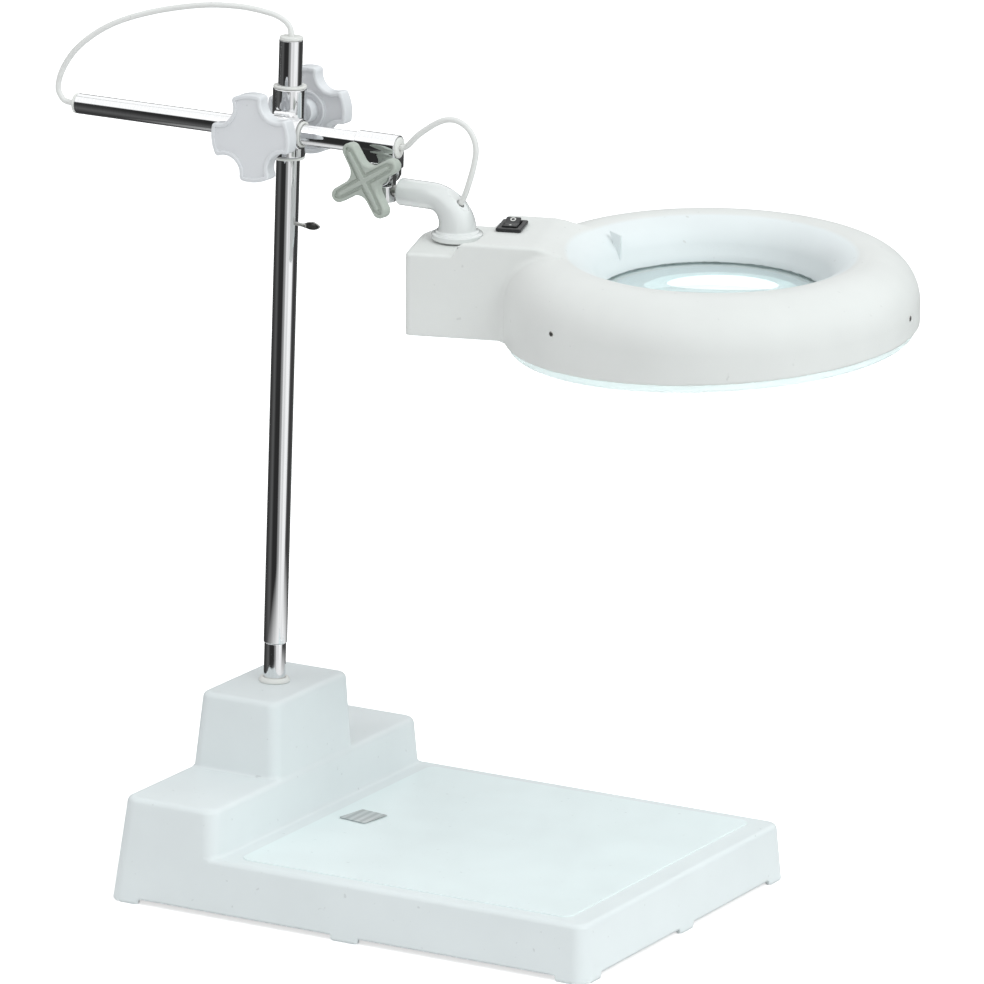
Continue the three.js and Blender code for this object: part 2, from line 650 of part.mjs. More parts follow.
// What the rear deck covers: the step up to the raised deck runs just clear of the elbow's flange.
function rearDeckPlan(inset) {
  const reach = NECK.half + 5;
  const step = [[reach, 20.6], [-4, 17.2], [-18, 15.4], [-29, 12], [-33, 7], [-reach, 4]];
  const plan = new THREE.Shape();
  plan.moveTo(NECK.rear - 5, -reach);
  plan.lineTo(NECK.rear - 5, reach);
  step.forEach(([y, x]) => plan.lineTo(x + inset, y));
  return plan;
}

// The neck as a block whose walls and top stand inside its outer faces by `inset` and `top`.
function neckBlock(inset, top) {
  const { rear, front, half, bottom, deck } = NECK;
  const floor = bottom - (inset > 0 ? 5 : 0);
  const side = new THREE.Shape();
  side.moveTo(rear - 5, floor);
  side.lineTo(rear - 5, deck - top);
  side.lineTo(50, deck - top);
  side.lineTo(front + 1, 4 - top);
  side.lineTo(front + 1, floor);
  const geometry = new THREE.ExtrudeGeometry(side, { depth: 2 * half + 10, bevelEnabled: false });
  geometry.rotateX(Math.PI / 2).translate(0, half + 5, 0);
  const block = solid(geometry).intersect(slab(neckPlan(inset), floor - 5, deck + 5, 0, 6));
  return cut(block, slab(rearDeckPlan(inset), -top, deck + 6));
}

// Everything below the ring's slanted lower edge, moved down by `drop`.
function belowFoot(drop) {
  const geometry = new THREE.BoxGeometry(400, 400, 60).translate(0, 0, -30);
  geometry.rotateY(-Math.atan(FOOT_CLIMB));
  return solid(geometry.translate(RING_X, 0, RING_FOOT - drop));
}

function headShell() {
  const w = RING_WALL;
  const [shoulderR, shoulderZ] = [RING_R - RING_SHOULDER, RING_TOP - RING_SHOULDER];
  const outside = roundRing([
    [0, -60],
    [RING_R, -60],
    ...arc(shoulderR, shoulderZ, RING_SHOULDER, 0, 90, 6),
    [0, RING_TOP],
  ]);
  const chamber = roundRing([
    [71, -65],
    [RING_R - w, -65],
    ...arc(shoulderR, shoulderZ, RING_SHOULDER - w, 0, 90, 5),
    [HOLE_R - 2, RING_TOP - w],
    [76, -4],
    [71, LEDGE_Z - 0.8],
  ]);
  const funnel = roundRing([
    [0, -65],
    [74, -65],
    [74, -31],
    [68.5, -31],
    [68.5, LEDGE_Z - 2],
    [LENS_VISIBLE_R, LEDGE_Z - 2],
    [LENS_VISIBLE_R, LEDGE_Z],
    ...WELL_WALL,
    [HOLE_R, RING_TOP],
    [HOLE_R, 12],
    [0, 12],
  ]);
  const { x, y, long, wide } = SWITCH;
  const [dx, dy] = [wide / 2 - 1.2, long / 2 - 1.2];
  const switchHole = box(x - dx, x + dx, y - dy, y + dy, -10, 12);
  const rimHoles = RIM_SCREW_ANGLES.map((a) => {
    const [c, s] = [Math.cos(a * DEG), Math.sin(a * DEG)];
    return bar(1.8, [RING_X + 110 * c, 110 * s, -25], [RING_X + 130 * c, 130 * s, -25], 12);
  });
  return cut(
    join(cut(outside, belowFoot(0)), neckBlock(0, 0)),
    chamber,
    funnel,
    neckBlock(w, w),
    bar(6.4, [0, 0, -6], [0, 0, 6], 24),
    switchHole,
    ...rimHoles,
  );
}
part('head_shell', headShell(), 'head', headGroup);

function neckCover() {
  const { bottom } = NECK;
  const plate = slab(neckPlan(RING_WALL + GAP), bottom, bottom + 2.4, 0, 6);
  const room = bar(RING_R - RING_WALL + GAP, [RING_X, 0, bottom - 5], [RING_X, 0, bottom + 10], RING_SIDES);
  return cut(plate, room);
}
part('neck_cover', neckCover(), 'head', headGroup);

const LENS_EDGE = { top: LEDGE_Z - 2.9, bottom: LEDGE_Z - 5.9 };
function lensOutline() {
  const rise = 4;
  const face = (sign, z) => Array.from({ length: 5 }, (_, i) => {
    const r = (LENS_R * i) / 4;
    return [r, z + sign * rise * (1 - (r / LENS_R) ** 2)];
  });
  return [...face(-1, LENS_EDGE.bottom), ...face(1, LENS_EDGE.top).reverse()];
}
part('lens', roundRing(lensOutline()), 'glass', headGroup);

const ringTop = LENS_EDGE.bottom - 1.1;
const lensRing = [[62, ringTop - 2.6], [68.2, ringTop - 2.6], [68.2, ringTop], [62, ringTop]];
part('lens_ring', roundRing(lensRing), 'nylon', headGroup);

// Circular fluorescent tube with its cap facing the neck.
function ringLamp() {
  const open = 11.5 * DEG; // half of the gap that the cap fills
  const points = Array.from({ length: 25 }, (_, i) => {
    const a = Math.PI + open + ((2 * Math.PI - 2 * open) * i) / 24;
    return [RING_X + LAMP.ring * Math.cos(a), LAMP.ring * Math.sin(a), LAMP.z];
  });
  return solid(cordAlong(points, LAMP.tube, 10, 36, LAMP.tube - LAMP.wall));
}
part('ring_lamp', ringLamp(), 'lamp', headGroup);

const capX = RING_X - LAMP.ring;
part('lamp_cap', box(capX - 12, capX + 11, -15, 15, LAMP.z - 12, LAMP.z + 12), 'nylon', headGroup);

const CLIP_ROOM = 1.4; // between a clip's stem and the level of the rear deck
function lampClip() {
  const [inner, outer] = [LAMP.tube + 0.4, LAMP.tube + 1.6];
  const shape = new THREE.Shape();
  shape.absarc(0, 0, outer, -30 * DEG, 210 * DEG, false);
  shape.absarc(0, 0, inner, 210 * DEG, -30 * DEG, true);
  const hook = slab(shape, -4, 4, 0, 8);
  const stem = box(-4, 4, outer - 0.6, -LAMP.z - CLIP_ROOM, -4, 4);
  return join(hook, stem);
}
[90, 270, 0].forEach((angle, i) => {
  const clip = part(`lamp_clip_${i + 1}`, lampClip(), 'steel', headGroup);
  const a = angle * DEG;
  clip.position.set(RING_X + LAMP.ring * Math.cos(a), LAMP.ring * Math.sin(a), LAMP.z);
  clip.rotation.set(Math.PI / 2, a, 0, 'XYZ');
});

const diffuserOutline = [
  [73, -49],
  [115.4, -49],
  [117.2, -47.2],
  [117.2, -38],
  [115.6, -38],
  [115.6, -47.4],
  [73.4, -47.4],
  [73.4, -31.5],
  [71.8, -31.5],
  [71.8, -47.8],
];
const diffuser = part('diffuser', turned(diffuserOutline, RING_SIDES), 'diffuser', headGroup);
const followFoot = new THREE.Matrix4().makeShear(0, FOOT_CLIMB, 0, 0, 0, 0);
diffuser.geometry.applyMatrix4(followFoot).translate(RING_X, 0, 0);

RIM_SCREW_ANGLES.forEach((angle, i) => {
  const screw = part(`rim_screw_${i + 1}`, bar(1.5, [0, 0, 113], [0, 0, 120.6], 12), 'steel', headGroup);
  screw.position.set(RING_X, 0, -25);
  screw.rotation.set(0, Math.PI / 2, 0);
  screw.rotateOnWorldAxis(new THREE.Vector3(0, 0, 1), angle * DEG);
});

part('starter', bar(9, [-14, -17, -30], [20, -17, -30], 20), 'nylon', headGroup);

// ---------------------------------------------------------------- switch
function switchFrame() {
  const { x, y, long, wide } = SWITCH;
  const top = NECK.deck + GAP;
  const around = (dx, dy, z0, z1) => box(x - dx, x + dx, y - dy, y + dy, z0, z1);
  const rim = around(wide / 2, long / 2, top, top + 2);
  const can = around(wide / 2 - 1.5, long / 2 - 1.5, -10, top + 1);
  return cut(join(rim, can), around(4.7, 7.9, 0, top + 5));
}
part('switch_frame', switchFrame(), 'black', headGroup);

const ROCKER_PIVOT = [SWITCH.x, SWITCH.y, 7];
function rockerBody() {
  const side = new THREE.Shape();
  side.moveTo(-6.6, -1);
  side.lineTo(0, -3.4);
  side.lineTo(6.6, -1);
  side.lineTo(6.6, 4.6);
  side.lineTo(0, 3.2);
  side.lineTo(-6.6, 4.6);
  const geometry = new THREE.ExtrudeGeometry(side, { depth: 8.6, bevelEnabled: false });
  return geometry.translate(0, 0, -4.3).rotateX(Math.PI / 2).rotateZ(Math.PI / 2);
}
const rocker = part('switch_rocker', solid(rockerBody()), 'black', headGroup);
rocker.position.set(...ROCKER_PIVOT);
rocker.rotation.x = 9 * DEG;

// ---------------------------------------------------------------- cords held between two pieces
const COLUMN_CORD = [
  [0, 0, 496.6],
  [-1, 0, 502.5],
  [-5.5, -0.8, 507],
  [-13.8, -1.9, 509.9],
  [-32.4, -4.4, 512],
  [-57.2, -7.7, 510.3],
  [-88.3, -11.9, 503.1],
  [-113.1, -15.3, 493],
  [-131.6, -17.6, 479.2],
  [-142, -18, 465],
  [-145.5, -18, 453],
  [-142.5, -18, 446.4],
  [-138, -18, ARM_Z],
  [-132.6, -18, ARM_Z],
];
part('column_cord', cordAlong(COLUMN_CORD, CORD_R, 8, 30), 'cord', stand);

const ARM_CORD = [
  [83, -18, ARM_Z],
  [87.5, -18, 446],
  [95.7, -18, 454.2],
  [108.5, -18, 463],
  [118.2, -18, 465.1],
  [126.1, -18, 462],
  [130.8, -18, 456.1],
  [132.6, -18, 449],
  [131.6, -18.2, 440],
  [129.4, -18.4, 431],
  [126.6, -18.2, 422.5],
  [123.6, -17.9, 416.5],
];
part('arm_cord', cordAlong(ARM_CORD, CORD_R, 8, 18), 'cord', stand);

export default object;
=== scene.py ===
"""Looks of an illuminated ring magnifier on a bench stand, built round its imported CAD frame."""
import json
import math

import bmesh
import bpy
import numpy as np
from mathutils import Matrix, Vector


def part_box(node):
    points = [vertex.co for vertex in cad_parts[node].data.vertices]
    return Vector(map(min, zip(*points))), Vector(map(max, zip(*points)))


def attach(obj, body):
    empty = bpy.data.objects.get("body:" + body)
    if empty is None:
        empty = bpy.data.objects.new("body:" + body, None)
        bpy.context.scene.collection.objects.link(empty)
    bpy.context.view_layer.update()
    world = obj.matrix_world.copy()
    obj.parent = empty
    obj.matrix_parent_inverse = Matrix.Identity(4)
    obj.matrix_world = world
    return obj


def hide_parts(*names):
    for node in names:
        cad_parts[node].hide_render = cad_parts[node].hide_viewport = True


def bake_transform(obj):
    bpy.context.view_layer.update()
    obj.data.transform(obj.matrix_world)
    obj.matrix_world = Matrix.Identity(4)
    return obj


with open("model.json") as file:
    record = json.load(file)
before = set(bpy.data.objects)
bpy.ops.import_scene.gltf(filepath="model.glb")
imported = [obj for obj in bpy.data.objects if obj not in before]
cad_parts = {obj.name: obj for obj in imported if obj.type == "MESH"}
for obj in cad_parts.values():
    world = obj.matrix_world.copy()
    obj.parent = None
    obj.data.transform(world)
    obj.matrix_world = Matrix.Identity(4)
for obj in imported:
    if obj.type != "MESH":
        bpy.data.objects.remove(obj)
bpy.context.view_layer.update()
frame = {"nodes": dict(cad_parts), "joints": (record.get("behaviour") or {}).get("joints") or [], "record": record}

# ------------------------------------------------------------------ sizes and places
# Shapes are worked out in millimetres in local frames; MM takes them to the row frame's metres.
MM = 0.001
JOINTS = {joint["name"]: joint for joint in frame["joints"]}


def corners(node):
    """Lowest and highest corner of a CAD node, in millimetres."""
    low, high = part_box(node)
    return np.array(low) / MM, np.array(high) / MM


def middle(node):
    low, high = corners(node)
    return (low + high) / 2


def joint_place(name):
    return Vector(JOINTS[name]["pos_m"]) / MM


def local_frame(origin, x_axis=(1, 0, 0), z_axis=(0, 0, 1)):
    """A frame with its origin in millimetres; Y completes the two axes."""
    x_axis, z_axis = Vector(x_axis), Vector(z_axis)
    turn = Matrix((x_axis, z_axis.cross(x_axis), z_axis)).transposed().to_4x4()
    return Matrix.Translation(Vector(origin)) @ turn


SWIVEL_AXIS = Vector(JOINTS["head_swivel"]["axis"])
NECK_AXIS = Vector(JOINTS["switch_rock"]["axis"])
DECK_DROP = 24.3  # from the elbow's roll axis down to the head's rear deck
RING_AHEAD = 150.0  # from the swivel to the middle of the ring

COLUMN_X, COLUMN_Y, _ = middle("column_tube")
_, ARM_Y, ARM_Z = middle("arm_tube")
PIVOT = joint_place("head_tilt")
STAND = local_frame((COLUMN_X, COLUMN_Y, 0))
HEAD = local_frame(joint_place("head_swivel"), NECK_AXIS, SWIVEL_AXIS)
RING = HEAD @ Matrix.Translation((RING_AHEAD, 0, 0))
ELBOW = local_frame(joint_place("head_swivel") + SWIVEL_AXIS * DECK_DROP, (1, 0, 0), SWIVEL_AXIS)
ALONG_X = local_frame((0, 0, 0), (0, 0, -1), (1, 0, 0))  # local Z along +X
FACING_FRONT = local_frame((0, 0, 0), (1, 0, 0), (0, -1, 0))  # local Z along -Y
FACING_BACK = local_frame((0, 0, 0), (1, 0, 0), (0, 1, 0))  # local Z along +Y

# ------------------------------------------------------------------ camera
CAMERA_PLACE = (2.33185, -4.53292, 1.51274)
CAMERA_AZIMUTH, CAMERA_ELEVATION, CAMERA_ROLL = (math.radians(a) for a in (27.11, 14.01, 1.853))
CAMERA_LENS = 329.27  # on a 36 mm sensor


def make_camera():
    azimuth, elevation = CAMERA_AZIMUTH, CAMERA_ELEVATION
    flat = math.cos(elevation)
    back = Vector((math.sin(azimuth) * flat, -math.cos(azimuth) * flat, math.sin(elevation)))
    level = Vector((math.cos(azimuth), math.sin(azimuth), 0))
    steep = back.cross(level)
    right = level * math.cos(CAMERA_ROLL) + steep * math.sin(CAMERA_ROLL)
    camera = bpy.data.objects.new("camera", bpy.data.cameras.new("camera"))
    bpy.context.scene.collection.objects.link(camera)
    turn = Matrix((right, back.cross(right), back)).transposed().to_4x4()
    camera.matrix_world = Matrix.Translation(CAMERA_PLACE) @ turn
    camera.data.sensor_width = 36
    camera.data.lens = CAMERA_LENS
    camera.data.clip_start, camera.data.clip_end = 0.5, 60
    bpy.context.scene.camera = camera


make_camera()


# ------------------------------------------------------------------ materials
def add_node(tree, kind, inputs=None, **settings):
    """A new node with its settings made, and its inputs set to values or linked to sockets."""
    made = tree.nodes.new(kind)
    for setting, value in settings.items():
        setattr(made, setting, value)
    for socket, value in (inputs or {}).items():
        if isinstance(value, bpy.types.NodeSocket):
            tree.links.new(value, made.inputs[socket])
        else:
            made.inputs[socket].default_value = value
    return made


class Look:
    """A material's nodes, with short ways to add the ones that every finish here uses."""

    def __init__(self, name, **sockets):
        self.material = bpy.data.materials.new(name)
        self.material.use_nodes = True
        self.tree = self.material.node_tree
        self.shader = self.tree.nodes["Principled BSDF"]
        for socket, value in sockets.items():
            self.shader.inputs[socket.replace("_", " ")].default_value = value

    def add(self, kind, inputs=None, **settings):
        return add_node(self.tree, kind, inputs, **settings)

    def place(self, stretch=(1, 1, 1)):
        """Row-frame position in metres, stretched for streaky patterns."""
        where = self.add("ShaderNodeTexCoord").outputs["Object"]
        return self.add("ShaderNodeMapping", {"Vector": where, "Scale": stretch}).outputs[0]

    def noise(self, scale, detail=3, stretch=(1, 1, 1)):
        inputs = {"Vector": self.place(stretch), "Scale": scale, "Detail": detail}
        return self.add("ShaderNodeTexNoise", inputs).outputs["Fac"]

    def between(self, factor, low, high, start=0.3, end=0.7):
        """A number that runs from low to high as factor runs from start to end."""
        inputs = {0: factor, 1: start, 2: end, 3: low, 4: high}
        return self.add("ShaderNodeMapRange", inputs).outputs[0]

    def mix(self, factor, first, second):
        return self.add("ShaderNodeMix", {0: factor, 6: first, 7: second}, data_type="RGBA").outputs[2]

    def drive(self, **sockets):
        for socket, value in sockets.items():
            self.tree.links.new(value, self.shader.inputs[socket.replace("_", " ")])

    def bump(self, height, depth):
        inputs = {"Height": height, "Distance": depth, "Strength": 1.0}
        self.drive(Normal=self.add("ShaderNodeBump", inputs).outputs[0])


def tone(colour, factor):
    return (*(min(1.0, c * factor) for c in colour), 1)


def moulded(name, colour, roughness, grain=1400, depth=3e-5, coat=0.0):
    """Moulded plastic: faint blotches, uneven gloss, a fine spark-eroded grain and a few specks."""
    look = Look(name, Coat_Weight=coat, Coat_Roughness=0.12, Specular_IOR_Level=0.45)
    blotch = look.noise(18, 4)
    base = look.mix(look.between(blotch, 0, 1), tone(colour, 0.975), tone(colour, 1.02))
    speck = look.between(look.noise(260, 1), 0, 0.5, 0.745, 0.8)
    base = look.mix(speck, base, tone(colour, 0.72))
    gloss = look.between(look.noise(70, 3), roughness - 0.05, roughness + 0.06)
    look.drive(Base_Color=base, Roughness=gloss)
    look.bump(look.noise(grain, 2), depth)
    return look.material


def plated(name, colour, roughness, stretch):
    """Bright plating over turned or drawn metal: fine streaks, finger marks and soft waviness."""
    look = Look(name, Metallic=1.0)
    streaks = look.noise(900, 2, stretch)
    smudge = look.noise(35, 4)
    gloss = look.between(smudge, roughness, roughness + 0.07, 0.45, 0.75)
    base = look.mix(look.between(streaks, 0, 1), tone(colour, 0.94), tone(colour, 1.03))
    look.drive(Base_Color=base, Roughness=gloss)
    look.bump(streaks, 6e-6)
    return look.material


def zinc(name, colour, roughness):
    """Dull zinc-plated steel with the mottle of the plating bath."""
    look = Look(name, Metallic=1.0)
    mottle = look.noise(240, 5)
    base = look.mix(look.between(mottle, 0, 1), tone(colour, 0.8), tone(colour, 1.12))
    look.drive(Base_Color=base, Roughness=look.between(mottle, roughness - 0.08, roughness + 0.1))
    look.bump(look.noise(1500, 3), 2e-5)
    return look.material


def head_plastic():
    """The head's warm white moulding, with painted cool bluish light and shade on the well's wall, where it faces
    the lens.
    """
    warm, painted_well_light = (0.795, 0.805, 0.785), (0.82, 0.865, 0.87)
    well_starts, well_ends = 0.0825, 0.0855  # metres from the ring's axis, between them the tones blend
    look = Look("head_plastic", Specular_IOR_Level=0.4)
    centre = tuple(c * MM for c in RING.translation)
    away = look.add("ShaderNodeVectorMath", {0: look.place(), 1: centre}, operation="SUBTRACT")
    axis = tuple(SWIVEL_AXIS)
    flat = look.add("ShaderNodeVectorMath", {0: away.outputs[0], 1: axis}, operation="CROSS_PRODUCT")
    radius = look.add("ShaderNodeVectorMath", {0: flat.outputs[0]}, operation="LENGTH").outputs["Value"]
    # painted light: mask of the well's wall, where a painted cool bluish light and shade takes the place of the
    # warm white
    well = look.between(radius, 1, 0, well_starts, well_ends)
    blotch = look.between(look.noise(22, 4), 0, 1)
    warm_tone = look.mix(blotch, tone(warm, 0.975), tone(warm, 1.02))
    painted_well_light_tone = look.mix(blotch, tone(painted_well_light, 0.98), tone(painted_well_light, 1.03))
    speck = look.between(look.noise(240, 1), 0, 0.45, 0.75, 0.8)
    base = look.mix(speck, look.mix(well, warm_tone, painted_well_light_tone), tone(warm, 0.75))
    look.drive(Base_Color=base, Roughness=look.between(look.noise(60, 3), 0.42, 0.55))
    look.bump(look.noise(1300, 2), 5e-5)
    return look.material


def clear_glass():
    """The lens: clear, faintly blue-green, with a trace of dust and smears."""
    look = Look("lens_glass", Transmission_Weight=1.0, IOR=1.52)
    smear = look.noise(45, 4, (1, 2.2, 1))
    base = look.mix(look.between(smear, 0, 1), (0.82, 0.93, 0.95, 1), (0.87, 0.96, 0.97, 1))
    look.drive(Base_Color=base, Roughness=look.between(smear, 0.0, 0.035, 0.55, 0.8))
    return look.material


def opal():
    """Translucent opal acrylic, with a painted faint cyan glow."""
    look = Look("opal_acrylic", Transmission_Weight=0.55, IOR=1.49, Emission_Strength=0.12)
    # painted glow: the diffuser is no lamp, but emits a faint cyan light of its own
    look.shader.inputs["Emission Color"].default_value = (0.9, 1.0, 1.0, 1)
    cloud = look.noise(30, 3)
    base = look.mix(look.between(cloud, 0, 1), (0.86, 0.92, 0.915, 1), (0.92, 0.965, 0.96, 1))
    look.drive(Base_Color=base, Roughness=look.between(cloud, 0.36, 0.48))
    look.bump(look.noise(700, 2), 2e-5)
    return look.material


def phosphor():
    """White phosphor-coated tube, softly lit."""
    look = Look("lamp_phosphor", Emission_Strength=0.8)
    look.shader.inputs["Emission Color"].default_value = (0.93, 1.0, 1.0, 1)
    cloud = look.noise(25, 3)
    base = look.mix(look.between(cloud, 0, 1), (0.88, 0.9, 0.89, 1), (0.95, 0.96, 0.95, 1))
    look.drive(Base_Color=base, Roughness=look.between(cloud, 0.2, 0.3))
    return look.material


def foil():
    """Blank rating foil: satin grey, brushed, with a few faint darker fields and no lettering."""
    look = Look("label_foil", Metallic=0.35)
    brushed = look.noise(1600, 2, (0.08, 1, 1))
    rows = look.add("ShaderNodeTexWave", {"Vector": look.place(), "Scale": 62, "Distortion": 0.0},
                    bands_direction="X")
    field = look.between(rows.outputs["Fac"], 0, 0.55, 0.45, 0.6)
    base = look.mix(look.between(brushed, 0, 1), (0.5, 0.53, 0.53, 1), (0.6, 0.63, 0.63, 1))
    look.drive(Base_Color=look.mix(field, base, (0.3, 0.33, 0.33, 1)))
    look.drive(Roughness=look.between(brushed, 0.3, 0.45))
    return look.material


LOOKS = {
    "white_moulding": moulded("base_plastic", (0.8, 0.845, 0.85), 0.42),
    "work_surface": moulded("panel_laminate", (0.84, 0.92, 0.92), 0.36, grain=900, depth=1e-5),
    "label_grey": foil(),
    "black_plastic": moulded("black_plastic", (0.016, 0.017, 0.018), 0.34, depth=2e-5),
    "plated_steel": zinc("zinc_steel", (0.52, 0.52, 0.5), 0.34),
    "nylon": moulded("natural_nylon", (0.8, 0.8, 0.77), 0.4),
    "chrome": plated("chrome_plate", (0.8, 0.81, 0.82), 0.035, stretch=(1, 1, 0.02)),
    "knob_plastic": moulded("knob_plastic", (0.775, 0.785, 0.805), 0.4, coat=0.15),
    "cross_knob_plastic": moulded("cross_knob_plastic", (0.46, 0.5, 0.45), 0.44),
    "gloss_white": moulded("gloss_enamel", (0.79, 0.81, 0.8), 0.22, grain=300, depth=1e-5, coat=0.9),
    "head_white": head_plastic(),
    "lens_glass": clear_glass(),
    "lamp_tube": phosphor(),
    "diffuser": opal(),
    "cord_white": moulded("cord_sheath", (0.83, 0.83, 0.81), 0.38, grain=500, depth=1e-5),
}


def paint(piece, slot):
    piece.data.materials.clear()
    piece.data.materials.append(LOOKS[slot])


# ------------------------------------------------------------------ meshes from fields
# A field is a signed distance in millimetres, below zero inside the material.
CUBE = np.array(list(np.ndindex(2, 2, 2)))
CUBE_EDGES = [(a, b) for a in range(8) for b in range(a + 1, 8) if np.abs(CUBE[a] - CUBE[b]).sum() == 1]


def both(a, b, radius=0.0):
    """Where two fields hold together, the edge between them rounded to a radius."""
    if radius <= 0:
        return np.maximum(a, b)
    corner = np.hypot(np.maximum(a + radius, 0), np.maximum(b + radius, 0))
    return np.minimum(np.maximum(a, b) + radius, 0) + corner - radius


def either(a, b, radius=0.0):
    """Where one field or the other holds, with a fillet between them."""
    return -both(-a, -b, radius)


def without(a, b, radius=0.0):
    return both(a, -b, radius)


def span(v, low, high):
    return np.abs(v - (low + high) / 2) - (high - low) / 2


def slope_of(field, points, step=0.02):
    """The field's gradient at each point."""
    parts = []
    for axis in range(3):
        shift = np.zeros(3)
        shift[axis] = step
        parts.append(field(*(points + shift).T) - field(*(points - shift).T))
    return np.stack(parts, 1) / (2 * step)


def surface_net(field, low, high, cell):
    """Vertices and quads of the field's zero surface, one vertex in each cell that it crosses."""
    axes = [np.arange(a - cell, b + 2 * cell, cell) for a, b in zip(low, high)]
    values = field(*np.meshgrid(*axes, indexing="ij", sparse=True))
    inside = values < 0
    cells = [n - 1 for n in inside.shape]
    windows = [inside[tuple(slice(o, o + n) for o, n in zip(offset, cells))] for offset in CUBE]
    index = np.argwhere(np.logical_or.reduce(windows) & ~np.logical_and.reduce(windows))
    ids = np.full(cells, -1, np.int64)
    ids[tuple(index.T)] = np.arange(len(index))
    corner = np.stack([values[tuple((index + offset).T)] for offset in CUBE], 1)
    total, count = np.zeros((len(index), 3)), np.zeros((len(index), 1))
    for a, b in CUBE_EDGES:
        crossed = (corner[:, a] < 0) != (corner[:, b] < 0)
        share = corner[crossed, a] / (corner[crossed, a] - corner[crossed, b])
        total[crossed] += CUBE[a] + share[:, None] * (CUBE[b] - CUBE[a])
        count[crossed] += 1
    points = np.array([a[0] for a in axes]) + (index + total / count) * cell
    for _ in range(4):  # settle the vertices on the surface itself
        slope = slope_of(field, points)
        push = field(*points.T)[:, None] * slope / np.maximum((slope**2).sum(1, keepdims=True), 0.25)
        points -= np.clip(push, -cell / 2, cell / 2)
    quads = []
    for axis in range(3):
        u, v = np.eye(3, dtype=int)[(axis + 1) % 3], np.eye(3, dtype=int)[(axis + 2) % 3]
        start = np.moveaxis(inside, axis, 0)[:-1]
        end = np.moveaxis(inside, axis, 0)[1:]
        edge = np.argwhere(np.moveaxis(start != end, 0, axis))
        ring = [ids[tuple((edge - s).T)] for s in (0 * u, u, u + v, v)]
        quad = np.stack(ring, 1)
        leaving = inside[tuple(edge.T)]
        quads.append(np.where(leaving[:, None], quad, quad[:, ::-1]))
    return points, np.concatenate(quads)


def mesh_of(name, points, faces):
    mesh = bpy.data.meshes.new(name)
    mesh.from_pydata([tuple(p) for p in points], [], [tuple(f) for f in faces])
    mesh.update()
    return mesh


def skin(name, field, low, high, cell, place):
    """A mesh of the field in a local frame, with the surface's exact normals."""
    points, quads = surface_net(field, low, high, cell)
    mesh = mesh_of(name, points, quads.tolist())
    normals = slope_of(field, points)
    normals /= np.maximum(np.linalg.norm(normals, axis=1, keepdims=True), 1e-9)
    at = np.zeros(len(mesh.loops), int)
    mesh.loops.foreach_get("vertex_index", at)
    flat = np.zeros(len(mesh.polygons) * 3)
    mesh.polygons.foreach_get("normal", flat)
    own = np.repeat(flat.reshape(-1, 3), 4, axis=0)
    smooth = np.where(((normals[at] * own).sum(1) > 0.5)[:, None], normals[at], own)
    turn = np.array(place.to_3x3())
    mesh.transform(Matrix.Scale(MM, 4) @ place)
    mesh.polygons.foreach_set("use_smooth", np.ones(len(mesh.polygons), bool))
    mesh.normals_split_custom_set((smooth @ turn.T).tolist())
    return mesh


# ------------------------------------------------------------------ meshes from outlines
def rounded(outline, radius, steps=5):
    """The outline with each corner off the axis turned into a small curve."""
    made = []
    for i, corner in enumerate(outline):
        before, here, after = (Vector(outline[j % len(outline)]) for j in (i - 1, i, i + 1))
        back, ahead = before - here, after - here
        reach = min(radius, 0.45 * back.length, 0.45 * ahead.length)
        if here.x < 1e-6 or reach < 1e-3:
            made.append(here)
            continue
        start, end = here + back.normalized() * reach, here + ahead.normalized() * reach
        for k in range(steps + 1):
            t = k / steps
            made.append(start * (1 - t) ** 2 + here * 2 * t * (1 - t) + end * t**2)
    return made


def turned(name, outline, place, radius=0.4, sides=96):
    """A body of revolution about local Z, from an outline of (radius, height) corners."""
    work = bmesh.new()
    rings = []
    for point in rounded(outline, radius):
        if point.x < 1e-6:
            rings.append([work.verts.new((0, 0, point.y))] * sides)
            continue
        angles = [2 * math.pi * k / sides for k in range(sides)]
        loop = [(point.x * math.cos(a), point.x * math.sin(a), point.y) for a in angles]
        rings.append([work.verts.new(p) for p in loop])
    for ring, following in zip(rings, rings[1:] + rings[:1]):
        for k in range(sides):
            m = (k + 1) % sides
            loop = list(dict.fromkeys((ring[k], ring[m], following[m], following[k])))
            if len(loop) > 2:
                work.faces.new(loop)
    bmesh.ops.recalc_face_normals(work, faces=work.faces)
    mesh = bpy.data.meshes.new(name)
    work.to_mesh(mesh)
    work.free()
    return smooth_by_angle(mesh, place)


def smooth_by_angle(mesh, place, angle=38):
    mesh.transform(Matrix.Scale(MM, 4) @ place)
    mesh.polygons.foreach_set("use_smooth", np.ones(len(mesh.polygons), bool))
    mesh.set_sharp_from_angle(angle=math.radians(angle))
    return mesh


def smooth_route(points, per_span=8):
    """Points of a smooth curve through the given ones."""
    given = [Vector(p) for p in points]
    ends = [given[0] * 2 - given[1], *given, given[-1] * 2 - given[-2]]
    made = []
    for a, b, c, d in zip(ends, ends[1:], ends[2:], ends[3:]):
        for k in range(per_span):
            t = k / per_span
            made.append(((b * 2) + (c - a) * t + (a * 2 - b * 5 + c * 4 - d) * t**2
                         + (b * 3 - a - c * 3 + d) * t**3) / 2)
    return [*made, given[-1]]


